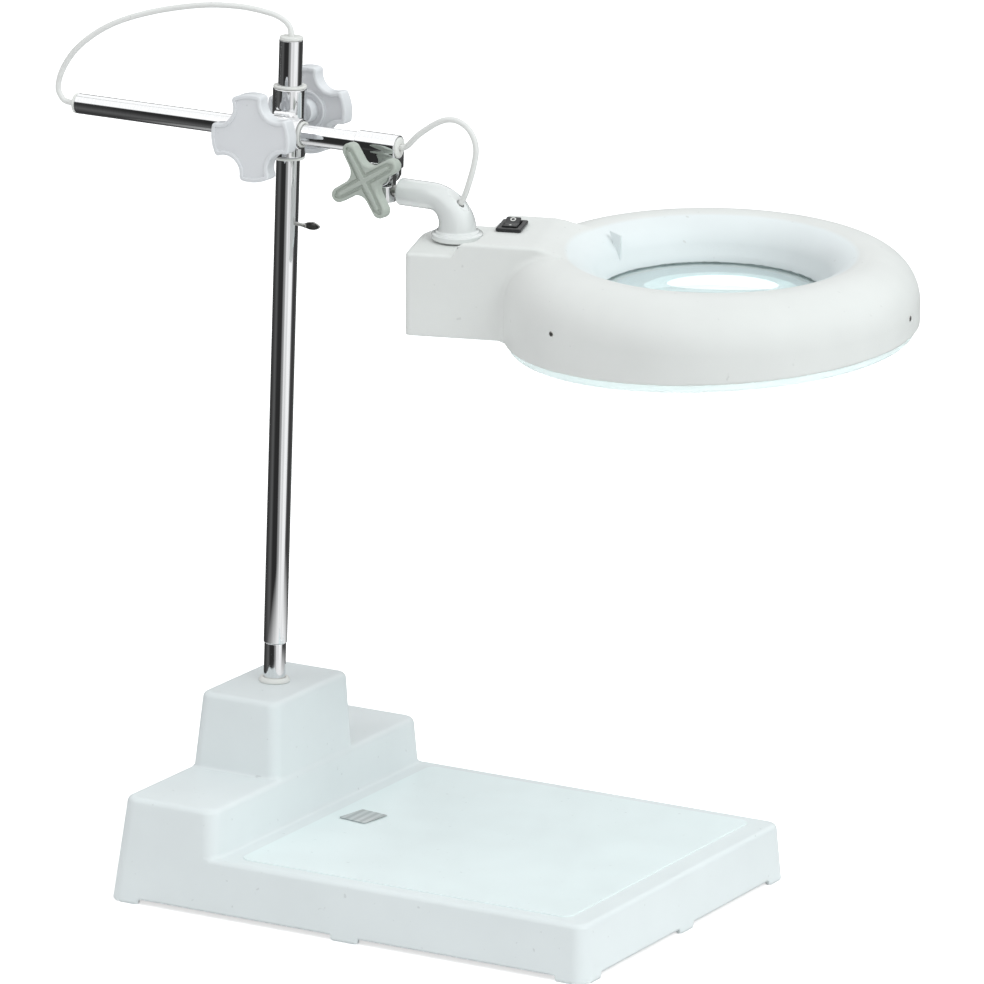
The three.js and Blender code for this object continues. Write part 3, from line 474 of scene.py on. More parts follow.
def swept(name, route, radius, sides=20, place=None):
    """A round tube along a route, closed at both ends."""
    work = bmesh.new()
    side = Vector((0, 1, 0))
    rings = []
    for i, here in enumerate(route):
        ahead = (route[min(i + 1, len(route) - 1)] - route[max(i - 1, 0)]).normalized()
        side = (side - ahead * side.dot(ahead)).normalized()
        up = ahead.cross(side)
        angles = [2 * math.pi * k / sides for k in range(sides)]
        loop = [here + (side * math.cos(a) + up * math.sin(a)) * radius for a in angles]
        rings.append([work.verts.new(p) for p in loop])
    for ring, following in zip(rings, rings[1:]):
        for k in range(sides):
            m = (k + 1) % sides
            work.faces.new((ring[k], ring[m], following[m], following[k]))
    work.faces.new(rings[0][::-1])
    work.faces.new(rings[-1])
    bmesh.ops.recalc_face_normals(work, faces=work.faces)
    mesh = bpy.data.meshes.new(name)
    work.to_mesh(mesh)
    work.free()
    return smooth_by_angle(mesh, place or Matrix.Identity(4), 60)


def plank(name, x, y, z, corner, edge, place):
    """A flat sheet with rounded corners and softened edges."""
    outline = []
    for cx, cy, start in ((x[1], y[1], 0), (x[0], y[1], 90), (x[0], y[0], 180), (x[1], y[0], 270)):
        sx, sy = math.copysign(corner, cx - sum(x) / 2), math.copysign(corner, cy - sum(y) / 2)
        for k in range(9):
            a = math.radians(start + 90 * k / 8)
            outline.append((cx - sx + corner * math.cos(a), cy - sy + corner * math.sin(a)))
    work = bmesh.new()
    face = work.faces.new([work.verts.new((px, py, z[0])) for px, py in outline])
    raised = bmesh.ops.extrude_face_region(work, geom=[face])["geom"]
    top = [g for g in raised if isinstance(g, bmesh.types.BMVert)]
    bmesh.ops.translate(work, vec=(0, 0, z[1] - z[0]), verts=top)
    bmesh.ops.recalc_face_normals(work, faces=work.faces)
    rims = [e for e in work.edges if abs(e.verts[0].co.z - e.verts[1].co.z) < 1e-6]
    bmesh.ops.bevel(work, geom=rims, offset=edge, segments=3, profile=0.5, affect="EDGES")
    mesh = bpy.data.meshes.new(name)
    work.to_mesh(mesh)
    work.free()
    return smooth_by_angle(mesh, place)


# ------------------------------------------------------------------ adding pieces
def add(mesh, body, slot, *nodes):
    """Shows a mesh as a piece that rides on a body and stands for the CAD nodes."""
    piece = bpy.data.objects.new(mesh.name, mesh)
    bpy.context.scene.collection.objects.link(piece)
    paint(piece, slot)
    if body:
        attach(piece, body)
    if nodes:
        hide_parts(*nodes)
    return piece


def weigh_normals(piece):
    """Keeps flats flat beside small rounded edges."""
    step = piece.modifiers.new("flats", "WEIGHTED_NORMAL")
    step.keep_sharp = True
    step.weight = 100
    return piece


# ------------------------------------------------------------------ cords
CORD_RADIUS = 1.75
COLUMN_CORD = [  # from the column's top plug to the arm's end cap, from the column axis
    (0, 0, 496.6), (-1, 0, 502.5), (-5.5, -0.8, 507), (-13.8, -1.9, 509.9), (-32.4, -4.4, 512),
    (-57.2, -7.7, 510.3), (-88.3, -11.9, 503.1), (-113.1, -15.3, 493), (-131.6, -17.6, 479.2),
    (-142, -18, 465), (-145.5, -18, 453), (-142.5, -18, 446.4), (-138, -18, 444.5), (-132.6, -18, 444.5),
]
ARM_CORD = [  # from the plug at the arm's head end into the outside of the elbow
    (83, -18, 444.5), (87.5, -18, 446), (95.7, -18, 454.2), (108.5, -18, 463), (118.2, -18, 465.1),
    (126.1, -18, 462), (130.8, -18, 456.1), (132.6, -18, 449), (131.6, -18.2, 440), (129.4, -18.4, 431),
    (126.6, -18.2, 422.5), (123.6, -17.9, 416.5),
]


def lay_cord(name, points, node, crossings):
    """A cord in as many lengths as it crosses joints, cut at the given shares of its route."""
    route = [STAND @ p for p in smooth_route(points)]
    along = [0.0]
    for a, b in zip(route, route[1:]):
        along.append(along[-1] + (b - a).length)
    shares = [along[-1] * share for share in crossings["splits"]]
    at = [min(range(len(route)), key=lambda i, s=s: abs(along[i] - s)) for s in shares]
    for i, (first, last) in enumerate(zip(at, at[1:])):
        stretch = route[first:last + 1]
        piece = add(swept(f"{name}_{i + 1}", stretch, CORD_RADIUS), None, "cord_white")
        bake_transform(piece)
        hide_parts(node)


lay_cord("column_lead", COLUMN_CORD, "column_cord",
         {"bodies": ["stand", "slider", "clamp", "arm_bush", "arm"], "splits": (0, 0.17, 0.4, 0.7, 1)})
lay_cord("arm_lead", ARM_CORD, "arm_cord", {"bodies": ["arm", "knuckle", "elbow"], "splits": (0, 0.5, 1)})


# ------------------------------------------------------------------ base
PLATE_TOP, RISER_TOP, RISER_FRONT = 34.5, 62.7, 37.0
BASE_CORNER, BASE_WALL, WALL_DRAFT = 9.0, 3.6, 0.09
HOLLOW_TOP = 6.2  # the underside is only as deep as the cover needs
TOWER_ENDS, TOWER_HALF, TOWER_CORNER, TOWER_DRAFT = (-29, 30.1), 48.8, 7.0, 0.07
TOP_ROUND = 3.4  # along the top edges of the riser and the tower
CORNER_FOOT, MIDDLE_FOOT, FOOT_HEIGHT = 20.0, 18.0, 3.2
FEET_FROM, FEET_TO = 9, 110  # the rim is lifted between these distances to either side of the middle
PANEL_CORNER = 6.7
LABEL_TURN, LABEL_LONG, LABEL_WIDE = math.radians(-9), 22.8, 18.8


def drafted(x, y, z, ends, half, corner, draft):
    """Four walls that lean in as they rise, with rounded upright corners."""
    middle_x, half_x = (ends[0] + ends[1]) / 2, (ends[1] - ends[0]) / 2
    lean = draft * z
    return both(np.abs(x - middle_x) - half_x + lean, np.abs(y) - half + lean, corner)


def base_field(x, y, z):
    low, high = corners("base_shell")
    back, front, half = low[0] - COLUMN_X, high[0] - COLUMN_X, (high[1] - low[1]) / 2
    walls = drafted(x, y, z, (back, front), half, BASE_CORNER, WALL_DRAFT)
    plate = both(walls, z - PLATE_TOP, 3)
    riser_walls = drafted(x, y, z, (back, RISER_FRONT), half, BASE_CORNER, WALL_DRAFT)
    riser = both(riser_walls, z - RISER_TOP, TOP_ROUND)
    tower_walls = drafted(x, y, z - RISER_TOP + 6, TOWER_ENDS, TOWER_HALF, TOWER_CORNER, TOWER_DRAFT)
    tower = both(tower_walls, z - high[2], TOP_ROUND)
    steps = np.maximum(both(walls, z - RISER_TOP, TOP_ROUND), either(plate, riser, 1.8))
    body = either(steps, tower, 1.6)
    inner_ends = (back + BASE_WALL, front - BASE_WALL)
    hollow = both(drafted(x, y, z, inner_ends, half - BASE_WALL, 6, WALL_DRAFT), z - HOLLOW_TOP)
    centre = (back + front) / 2
    behind = span(x, back + CORNER_FOOT, centre - MIDDLE_FOOT / 2)
    ahead = span(x, centre + MIDDLE_FOOT / 2, front - CORNER_FOOT)
    beside = span(np.abs(y), FEET_FROM, FEET_TO)
    relief = np.maximum(np.minimum(np.minimum(behind, ahead), beside), z - FOOT_HEIGHT)
    return both(without(without(body, hollow, 0.5), relief, 0.7), -z, 0.7)


def make_base():
    low, high = corners("base_shell")
    shift = np.array([COLUMN_X, COLUMN_Y, 0])
    mesh = skin("base_moulding", base_field, low - shift, high - shift, 1.4, STAND)
    add(mesh, "stand", "white_moulding", "base_shell")
    low, high = corners("work_panel")
    x, y, z = zip(low - shift, high - shift)
    panel = plank("panel_sheet", x, y, z, PANEL_CORNER, 0.45, STAND)
    weigh_normals(add(panel, "stand", "work_surface", "work_panel"))
    x, y, _ = middle("rating_label") - shift
    low, high = corners("rating_label")
    place = STAND @ Matrix.Translation((x, y, low[2])) @ Matrix.Rotation(LABEL_TURN, 4, "Z")
    x, y = ((-size / 2, size / 2) for size in (LABEL_WIDE, LABEL_LONG))
    label = plank("rating_foil", x, y, (0, high[2] - low[2]), 1, 0.1, place)
    add(label, "stand", "label_grey", "rating_label")


make_base()


# ------------------------------------------------------------------ column
COLUMN_FOOT, COLUMN_TOP = (float(c[2]) for c in corners("column_tube"))
COLUMN_RADIUS, COLUMN_BORE = 7, 6.2
CORD_BORE = 2.0  # through the plugs that the cords leave by
THREAD_PITCH = 1.1


def make_column():
    rod = [(COLUMN_BORE, COLUMN_FOOT), (COLUMN_RADIUS, COLUMN_FOOT),
           (COLUMN_RADIUS, COLUMN_TOP), (COLUMN_BORE, COLUMN_TOP)]
    add(turned("column_rod", rod, STAND, 0.25), "stand", "chrome", "column_tube")
    foot = [(3.8, 88), (6.5, 88), (6.5, COLUMN_FOOT - 0.5), (5.9, COLUMN_FOOT), (5.9, 168), (3.8, 168)]
    add(turned("column_foot", foot, STAND, 0.3), "stand", "chrome", "column_spigot")
    collar = [(6.6, 108.4), (9.3, 108.4), (9.3, 109.7), (8.1, 111.3), (6.6, 111.3)]
    add(turned("column_collar", collar, STAND, 0.5), "stand", "nylon", "column_ferrule")
    top = COLUMN_TOP + 0.2
    plug = [(CORD_BORE, top - 10), (6, top - 10), (6, top),
            (6.9, top), (6.9, top + 2), (CORD_BORE, top + 2.2)]
    add(turned("column_plug", plug, STAND, 0.6), "stand", "nylon", "column_cap")


def stop_screw_field(x, y, z):
    """A thin threaded stem that ends in a small dished thumb tab with a nub on its upper edge."""
    thread = 0.1 * np.cos(x * 2 * np.pi / THREAD_PITCH)
    stem = both(np.hypot(y, z + 0.12 * (x - 8)) - 1.05 - thread, span(x, 5, 13), 0.2)
    outline = np.hypot((x - 17) / 2.2, z) * 1.25 - 2.9
    dish = both(outline, np.abs(y - 0.006 * (x - 17) ** 2) - 0.75, 0.35)
    nub = both(np.hypot(x - 18, y) - 0.9, span(z, 1, 2.6), 0.4)
    return either(either(stem, dish, 1.0), nub, 0.5)


def make_stop_screw():
    place = STAND @ Matrix.Translation((0, 0, joint_place("stop_screw_turn").z))
    mesh = skin("stop_thumb_screw", stop_screw_field, (4, -2, -3.2), (24, 2, 3.2), 0.25, place)
    add(mesh, "stop", "plated_steel", "stop_screw")


make_column()
make_stop_screw()


# ------------------------------------------------------------------ cross clamp
CLAMP_LOW, CLAMP_HIGH = (float(c[2]) for c in corners("clamp_head"))
COLUMN_KNOB_Z = joint_place("column_knob_turn").z
ARM_SIDE = ARM_Y - COLUMN_Y  # the arm's axis, from the column's
CLAMP_RADIUS, CLAMP_BORE = 10, 8.6
SLEEVE_RADIUS, SLEEVE_BORE, SLEEVE_HALF = 9, 7.5, 18.5
BOSS_RADIUS, SCREW_BORE = 6.5, 3.2


def clamp_field(x, y, z):
    side, rise = y - ARM_SIDE, z - ARM_Z
    upright = both(np.hypot(x, y) - CLAMP_RADIUS, span(z, CLAMP_LOW, CLAMP_HIGH), 0.8)
    level = both(np.hypot(side, rise) - SLEEVE_RADIUS, span(x, -SLEEVE_HALF, SLEEVE_HALF), 0.8)
    bridge = both(both(span(x, -7, 7), np.abs(rise) - 8.6, 3), span(y, ARM_SIDE + 2, -4), 0.5)
    front_boss = both(np.hypot(x, rise) - BOSS_RADIUS, span(y, ARM_SIDE - 13, ARM_SIDE - 5), 0.7)
    back_boss = both(np.hypot(x, z - COLUMN_KNOB_Z) - BOSS_RADIUS, span(y, 5, 14), 0.7)
    body = either(either(upright, level, 2.0), bridge, 2.0)
    body = either(either(body, front_boss, 1.5), back_boss, 1.5)
    body = without(without(body, np.hypot(x, y) - CLAMP_BORE, 0.6), np.hypot(side, rise) - SLEEVE_BORE, 0.6)
    return without(body, np.hypot(x, rise) - SCREW_BORE + np.maximum(0, y - ARM_SIDE + 4), 0.4)


def liner(name, inner, outer, flange, low, high, place, body, node):
    """A plastic bush with a flange at both ends."""
    outline = [(inner, low - 1.6), (flange, low - 1.6), (flange, low - 0.1), (outer, low - 0.1),
               (outer, high + 0.1), (flange, high + 0.1), (flange, high + 1.6), (inner, high + 1.6)]
    add(turned(name, outline, place, 0.45), body, "nylon", node)


def make_clamp():
    shift = np.array([COLUMN_X, COLUMN_Y, 0])
    low, high = corners("clamp_head")
    mesh = skin("clamp_casting", clamp_field, low - shift, high - shift, 0.5, STAND)
    add(mesh, "clamp", "chrome", "clamp_head")
    liner("column_bush", 7.15, 8.3, 9.8, CLAMP_LOW, CLAMP_HIGH, STAND, "slider", "column_liner")
    arm_place = Matrix.Translation((COLUMN_X, ARM_Y, ARM_Z)) @ ALONG_X
    ends = -SLEEVE_HALF, SLEEVE_HALF
    liner("arm_bush_liner", 6.15, 7.2, 7.6, *ends, arm_place, "arm_bush", "arm_liner")


make_clamp()


# ------------------------------------------------------------------ four-lobed clamp knobs
KNOB_RADIUS, BITE_RADIUS, BITE_AWAY = 26.0, 10.0, 27.5
KNOB_THICK, KNOB_RIM, HUB_RADIUS = 10, 2.6, 7


def lobed_outline(x, y):
    """Distance to a disc with four round bites on its diagonals."""
    diagonal = BITE_AWAY * math.sqrt(0.5)
    bite = np.hypot(np.abs(x) - diagonal, np.abs(y) - diagonal) - BITE_RADIUS
    return without(np.hypot(x, y) - KNOB_RADIUS, bite, 2.4)


def knob_field(x, y, z):
    outline = lobed_outline(x, y)
    plate = both(outline, span(z, 0, KNOB_THICK), 1.3)
    dish = both(outline + KNOB_RIM, KNOB_THICK - 0.9 - z)
    face = without(plate, dish, 0.5)
    ring = np.abs(np.hypot(x, y) - 11) - 0.7
    hollow = without(both(outline + KNOB_RIM, z - 2.2), ring, 0.5)
    hub = both(np.hypot(x, y) - HUB_RADIUS, span(z, -6, 7), 0.8)
    return either(without(face, hollow, 0.6), hub, 0.6)


def make_knob(name, node, facing, front, turn):
    """A knob whose CAD node and body share a name, its open side at the given Y."""
    centre = joint_place(f"{node}_turn")
    place = Matrix.Translation((centre.x, front, centre.z)) @ facing @ Matrix.Rotation(turn, 4, "Z")
    low, high = (-KNOB_RADIUS, -KNOB_RADIUS, -6), (KNOB_RADIUS, KNOB_RADIUS, KNOB_THICK)
    add(skin(name, knob_field, low, high, 0.5, place), node, "knob_plastic", node)


make_knob("arm_grip", "arm_knob", FACING_FRONT, ARM_Y - 19.5, math.radians(8))
make_knob("column_grip", "column_knob", FACING_BACK, COLUMN_Y + 20.5, math.radians(-10))


# ------------------------------------------------------------------ arm, collar and tilt joint
ARM_LEFT, ARM_RIGHT = (float(c[0]) for c in corners("arm_tube"))
ARM_AXIS = Matrix.Translation((0, ARM_Y, ARM_Z)) @ ALONG_X
COLLAR_LOW, COLLAR_HIGH = corners("arm_collar")
ARM_RADIUS, ARM_BORE, ARM_PLUG = 6, 5.2, 4.9
EAR_RADIUS, EAR_HALF, TONGUE_RADIUS, KNUCKLE_RADIUS = 6.5, 7, 5.6, 6.2
TILT_KNOB_TURN = math.radians(32)


def make_arm():
    rod = [(ARM_BORE, ARM_LEFT), (ARM_RADIUS, ARM_LEFT), (ARM_RADIUS, ARM_RIGHT), (ARM_BORE, ARM_RIGHT)]
    add(turned("arm_rod", rod, ARM_AXIS, 0.25), "arm", "chrome", "arm_tube")
    left = ARM_LEFT - 0.2
    cap = [(CORD_BORE, left + 9), (ARM_PLUG, left + 9), (ARM_PLUG, left),
           (5.9, left), (5.9, left - 1.8), (CORD_BORE, left - 2)]
    add(turned("arm_plug", cap, ARM_AXIS, 0.5), "arm", "nylon", "arm_cap")
    right = ARM_RIGHT + 0.2
    cap = [(CORD_BORE, right - 8), (ARM_PLUG, right - 8), (ARM_PLUG, right),
           (6.1, right), (6.1, right + 3), (CORD_BORE, right + 3.6)]
    add(turned("arm_head_plug", cap, ARM_AXIS, 0.9), "arm", "nylon", "collar_plug")


def collar_field(x, y, z):
    side, rise = y - ARM_Y, z - ARM_Z
    sleeve = both(np.hypot(side, rise) - 7.2, span(x, COLLAR_LOW[0], COLLAR_HIGH[0]), 0.7)
    web_ends = span(x, COLLAR_LOW[0] + 1, COLLAR_HIGH[0])
    sides = np.abs(side) - EAR_HALF
    web = both(both(web_ends, sides, 0.8), span(z, PIVOT.z + 3, ARM_Z - 3), 0.8)
    ear = both(np.hypot(x - PIVOT.x, z - PIVOT.z) - EAR_RADIUS, sides, 0.7)
    cheek = both(both(np.abs(x - PIVOT.x) - EAR_RADIUS, sides, 0.7), span(z, PIVOT.z, PIVOT.z + 6))
    body = either(either(sleeve, web, 1.0), np.minimum(ear, cheek), 1.0)
    slot = both(both(np.abs(side) - 3, z - PIVOT.z - 6.1), PIVOT.x - 8 - x)
    body = without(without(body, slot, 0.4), np.hypot(side, rise) - 6.15, 0.4)
    return without(body, np.hypot(x - PIVOT.x, z - PIVOT.z) - 2.7, 0.3)


def tilt_grip_field(x, y, z):
    """Four slim crossed arms with round ends, each with a ridge along it, on a long hub."""
    u, v = np.abs(x), np.abs(y)

    def arm(length, half):
        along_x = np.hypot(np.maximum(u - length, 0), v) - half + 0.03 * u
        along_y = np.hypot(np.maximum(v - length, 0), u) - half + 0.03 * v
        return along_x, along_y

    outline = either(*arm(19.6, 5.0), 6.5)
    body = both(outline, span(z, -4, 3.8), 1.5)
    groove = both(np.minimum(*arm(18.2, 3.3)), 2.9 - z)
    ridges = both(np.minimum(*arm(17.6, 1.5)), span(z, 0, 4.6), 0.5)
    dimple = both(np.hypot(np.maximum(u, v) - 20.3, np.minimum(u, v)) - 1.5, 2.6 - z)
    body = without(without(body, groove, 0.4), dimple, 0.3)
    hub = both(np.hypot(x, y) - 5.5, span(z, -16.4, 0), 0.8)
    collar = both(np.hypot(x, y) - 7.5, span(z, -7, 0), 1.0)
    return either(either(either(body, ridges, 0.7), hub, 1.0), collar, 1.2)


def knuckle_field(x, y, z):
    across, side = x - PIVOT.x, y - ARM_Y
    low = corners("knuckle")[0][2]
    post = both(np.hypot(across, side) - KNUCKLE_RADIUS, span(z, low, PIVOT.z - 6.8), 0.7)
    round_end = np.hypot(across, np.maximum(z - PIVOT.z, 0)) - TONGUE_RADIUS
    tongue = both(both(round_end, np.abs(side) - 2.7, 0.4), low + 2 - z)
    body = either(post, tongue, 0.5)
    return without(body, np.hypot(side, z - joint_place("elbow_roll").z) - 3.5, 0.4)


def make_tilt_joint():
    level = Matrix.Identity(4)
    mesh = skin("collar_casting", collar_field, COLLAR_LOW, COLLAR_HIGH, 0.42, level)
    add(mesh, "arm", "chrome", "arm_collar")
    front = joint_place("tilt_knob_turn").y
    place = Matrix.Translation((PIVOT.x, front, PIVOT.z)) @ FACING_FRONT
    place = place @ Matrix.Rotation(TILT_KNOB_TURN, 4, "Z")
    mesh = skin("tilt_grip", tilt_grip_field, (-25, -25, -16.4), (25, 25, 4.8), 0.4, place)
    add(mesh, "tilt_knob", "cross_knob_plastic", "tilt_knob")
    mesh = skin("knuckle_post", knuckle_field, *corners("knuckle"), 0.4, level)
    add(mesh, "knuckle", "chrome", "knuckle")


make_arm()
make_tilt_joint()


# ------------------------------------------------------------------ elbow
BEND = 17.0
ELBOW_REACH = 37.0  # the elbow's mouth, back from the swivel axis
FLANGE_RADIUS, FLANGE_UNDER = 15.0, 1.0
# heights of the centreline below the elbow's roll axis, and the tube's radius there
GIRTHS = [(-23.3, 11.6), (-18.3, 11.2), (-13.3, 10.6), (-6.3, 9.4), (-1.3, 8.1), (0, 7.9)]
CORD_WAY = [(8.1, 9.5), (-1.9, -10.5)]  # two points that the cord's hole runs through, in X and Z
CORD_HOLE = 2.4


def elbow_field(x, y, z):
    """A quarter bend from local -X down to -Z that widens towards its flange."""
    ahead, above = x + BEND, z + BEND
    turn = np.clip(np.arctan2(ahead, above), 0, np.pi / 2)
    in_bend = np.hypot(np.hypot(np.maximum(ahead, 0), np.maximum(above, 0)) - BEND, y)
    centre = np.where(ahead < 0, np.hypot(z, y), np.where(above < 0, np.hypot(x, y), in_bend))
    height = np.where(above < 0, z, BEND * (np.cos(turn) - 1))
    girth = np.interp(height, *zip(*GIRTHS))
    bottom = FLANGE_UNDER - DECK_DROP
    tube = both(centre - girth, np.maximum(-ELBOW_REACH - x, bottom - z), 1.0)
    flange = both(np.hypot(x, y) - FLANGE_RADIUS, span(z, bottom, bottom + 3.5), 0.8)
    step = both(np.hypot(x, y) - 12.9, span(z, bottom, bottom + 4.8), 0.6)
    outward, along = (ahead + above) * math.sqrt(0.5), (ahead - above) * math.sqrt(0.5)
    oval = both(np.hypot(np.maximum(np.abs(along + 1) - 6, 0), y) - 4.4, 24.0 - outward)
    (x0, z0), (x1, z1) = CORD_WAY
    length = math.hypot(x1 - x0, z1 - z0)
    off_way = ((x - x0) * (z1 - z0) - (z - z0) * (x1 - x0)) / length
    way = both(np.hypot(off_way, y) - CORD_HOLE, -8 - z)
    mouth = both(np.hypot(y, z) - 3.5, x + ELBOW_REACH - 9)
    body = either(either(tube, flange, 0.8), step, 1.2)
    return without(without(without(body, oval, 0.25), way, 0.3), mouth, 0.4)


def make_elbow():
    mesh = skin("elbow_moulding", elbow_field, (-38, -16, -24), (16, 16, 9), 0.45, ELBOW)
    add(mesh, "elbow", "gloss_white", "elbow")


make_elbow()


# ------------------------------------------------------------------ head
RING_RADIUS, RING_TOP, SHOULDER, WALL = 120.0, 2.5, 28.0, 2.5
FOOT, FOOT_CLIMB = -43.8, 0.05  # the ring's lower edge climbs away from the neck
LENS_OPENING, LEDGE = 65.0, -20.0
WELL_SLOPE, LIP = 0.4, 14.0  # the well's wall opens upwards into a wide rounded lip
NECK_REAR, NECK_HALF, NECK_BOTTOM, DECK_RISE = -23.2, 34.5, -49.3, 7.5
NECK_CORNER = 30.0  # at the far side of its rear end
RIM_SCREW_ANGLES, RIM_SCREW_DROP = (-128, -8, 112), 25
RIB_TURN = math.radians(-27)


def deck_height(x, y):
    """Height of the neck's deck: a step up just ahead of the flange, and a fall to the ring's crest."""
    step = 16.9 + 0.11 * y - 9 * (np.maximum(-y - 20, 0) / 14.5) ** 4
    climb = np.clip((x - step) / 3.0, 0, 1)
    fall = np.clip((x - 50) / 28, 0, 1)
    return DECK_RISE * climb - (DECK_RISE - RING_TOP + 0.5) * fall * fall * (3 - 2 * fall)


def head_field(x, y, z):
    away = x - RING_AHEAD
    r = np.hypot(away, y)
    ring = both(both(r - RING_RADIUS, z - RING_TOP, SHOULDER), FOOT + FOOT_CLIMB * away - z, 1.5)
    lean = 0.012 * (z - DECK_RISE)
    near_walls = both(NECK_REAR - x, -y - NECK_HALF + lean, 3.2)
    walls = np.maximum(near_walls, both(NECK_REAR - x, y - NECK_HALF, NECK_CORNER))
    neck = both(both(walls, z - deck_height(x, y), 1.8), NECK_BOTTOM - z, 1.5)
    body = either(both(neck, x - 90), ring, 3.5)
    cone = ((LENS_OPENING - r) + (z - LEDGE) * WELL_SLOPE) / math.hypot(1, WELL_SLOPE)
    neck_top = deck_height(x, y) - 1.4 * np.maximum(np.abs(y) - NECK_HALF - 1, 0)
    body = np.maximum(body, both(z - np.maximum(RING_TOP, neck_top), cone, LIP))
    body = both(body, LENS_OPENING - r, 0.8)
    body = without(body, both(r - 68.5, z - LEDGE + 2.2), 0.4)
    funnel_back = 71 + 0.6 * np.maximum(z - LEDGE, 0) - r
    chamber = both(both(r - RING_RADIUS + WALL, z, SHOULDER - WALL), funnel_back, 0.5)
    roof = np.minimum(deck_height(x - 4, y), 4.5) - WALL
    inside_neck = both(both(walls + WALL, z - roof, 1), np.maximum(x - 60, 72 - r))
    return without(body, np.minimum(chamber, inside_neck), 0.5)


def rib_field(x, y, z):
    """A thin upright gusset on the well's wall, on the neck's side."""
    wall = LENS_OPENING + (z - LEDGE) * WELL_SLOPE
    profile = both(span(-x, 67, 90), -x - wall - 1.5, 0.3)
    top = z - 0.3 - 0.2 * (-x - 67)
    return both(both(both(np.abs(y) - 0.9, profile, 0.3), top, 0.5), LEDGE - 0.5 - z)


def make_head():
    mesh = skin("head_moulding", head_field, (-24, -121, -50), (271, 121, 8), 1.4, HEAD)
    add(mesh, "head", "head_white", "head_shell")
    turn = Matrix.Rotation(RIB_TURN, 4, "Z")
    rib = skin("well_rib", rib_field, (-90, -2, -21), (-66, 2, 3), 0.4, RING @ turn)
    add(rib, "head", "head_white")
    screw = [(0, 116), (1.2, 116), (1.2, 119.5), (1.7, 119.5), (1.7, 120.1), (1.2, 120.4), (0, 120.5)]
    outward = Matrix.Translation((0, 0, -RIM_SCREW_DROP)) @ ALONG_X
    for number, angle in enumerate(RIM_SCREW_ANGLES, 1):
        place = RING @ Matrix.Rotation(math.radians(angle), 4, "Z") @ outward
        mesh = turned(f"rim_bolt_{number}", screw, place, 0.15, 32)
        add(mesh, "head", "plated_steel", f"rim_screw_{number}")


def make_optics():
    edge, rise, lens_radius = (-25.9, -22.9), 4.0, 68.2

    def face(height, sign, steps=24):
        radii = [lens_radius * k / steps for k in range(steps + 1)]
        return [(r, height + sign * rise * (1 - (r / lens_radius) ** 2)) for r in radii]

    lens = face(edge[0], -1) + face(edge[1], 1)[::-1]
    add(turned("magnifier_lens", lens, RING, 0, 128), "head", "lens_glass", "lens")
    retainer = [(62, -29.6), (68.2, -29.6), (68.2, -27), (62, -27)]
    add(turned("lens_retainer", retainer, RING, 0.5, 128), "head", "nylon", "lens_ring")
    opal_tray = [(73, -49), (115.4, -49), (117.2, -47.2), (117.2, -38), (115.6, -38), (115.6, -47.2),
                 (73.4, -47.2), (73.4, -31.5), (71.8, -31.5), (71.8, -47.8)]
    slant = Matrix.Identity(4)
    slant[2][0] = FOOT_CLIMB
    add(turned("opal_diffuser", opal_tray, RING @ slant, 0.5, 128), "head", "diffuser", "diffuser")


LAMP_RING, LAMP_RADIUS, LAMP_Z, LAMP_GAP = 94.0, 13.0, -22.0, math.radians(11.5)


def make_lamp():
    def at(angle):
        return Vector((LAMP_RING * math.cos(angle), LAMP_RING * math.sin(angle), LAMP_Z))
    steps = 96
    sweep = 2 * math.pi - 2 * LAMP_GAP
    route = [at(math.pi + LAMP_GAP + sweep * k / steps) for k in range(steps + 1)]
    add(swept("lamp_glass", route, LAMP_RADIUS, 32, RING), "head", "lamp_tube", "ring_lamp")


make_head()
make_optics()
make_lamp()


# ------------------------------------------------------------------ rocker switch
SWITCH_X, SWITCH_Y = 31.0, 6.0
SWITCH_LONG, SWITCH_WIDE = 21.5, 15.0
ROCKER_RISE, ROCKER_SLOPE, ROCKER_REST = 3.2, 0.24, math.radians(9)
MARK_AWAY = 4  # from the rocker's middle to its ring and its dot
SWITCH = HEAD @ Matrix.Translation((SWITCH_X, SWITCH_Y, DECK_RISE))


def bezel_field(x, y, z):
    rim = both(both(np.abs(x) - SWITCH_WIDE / 2, np.abs(y) - SWITCH_LONG / 2, 1.2), span(z, 0.1, 2.3), 0.7)
    can = both(both(np.abs(x) - 6, np.abs(y) - 9.2, 1), span(z, -17.5, 1), 0.5)
    well = both(both(np.abs(x) - 4.7, np.abs(y) - 7.9, 0.6), -7.5 - z)
    return without(either(rim, can, 0.3), well, 0.4)


def rocker_field(x, y, z):
    """Rocker in its pivot's frame, its two faces meeting in a shallow valley."""
    faces = z - ROCKER_RISE - ROCKER_SLOPE * np.sqrt(y * y + 0.6)
    under = -3.2 + 0.3 * np.abs(y) - z
    return both(both(both(np.abs(x) - 4.3, np.abs(y) - 6.6, 0.5), faces, 0.6), under, 0.4)


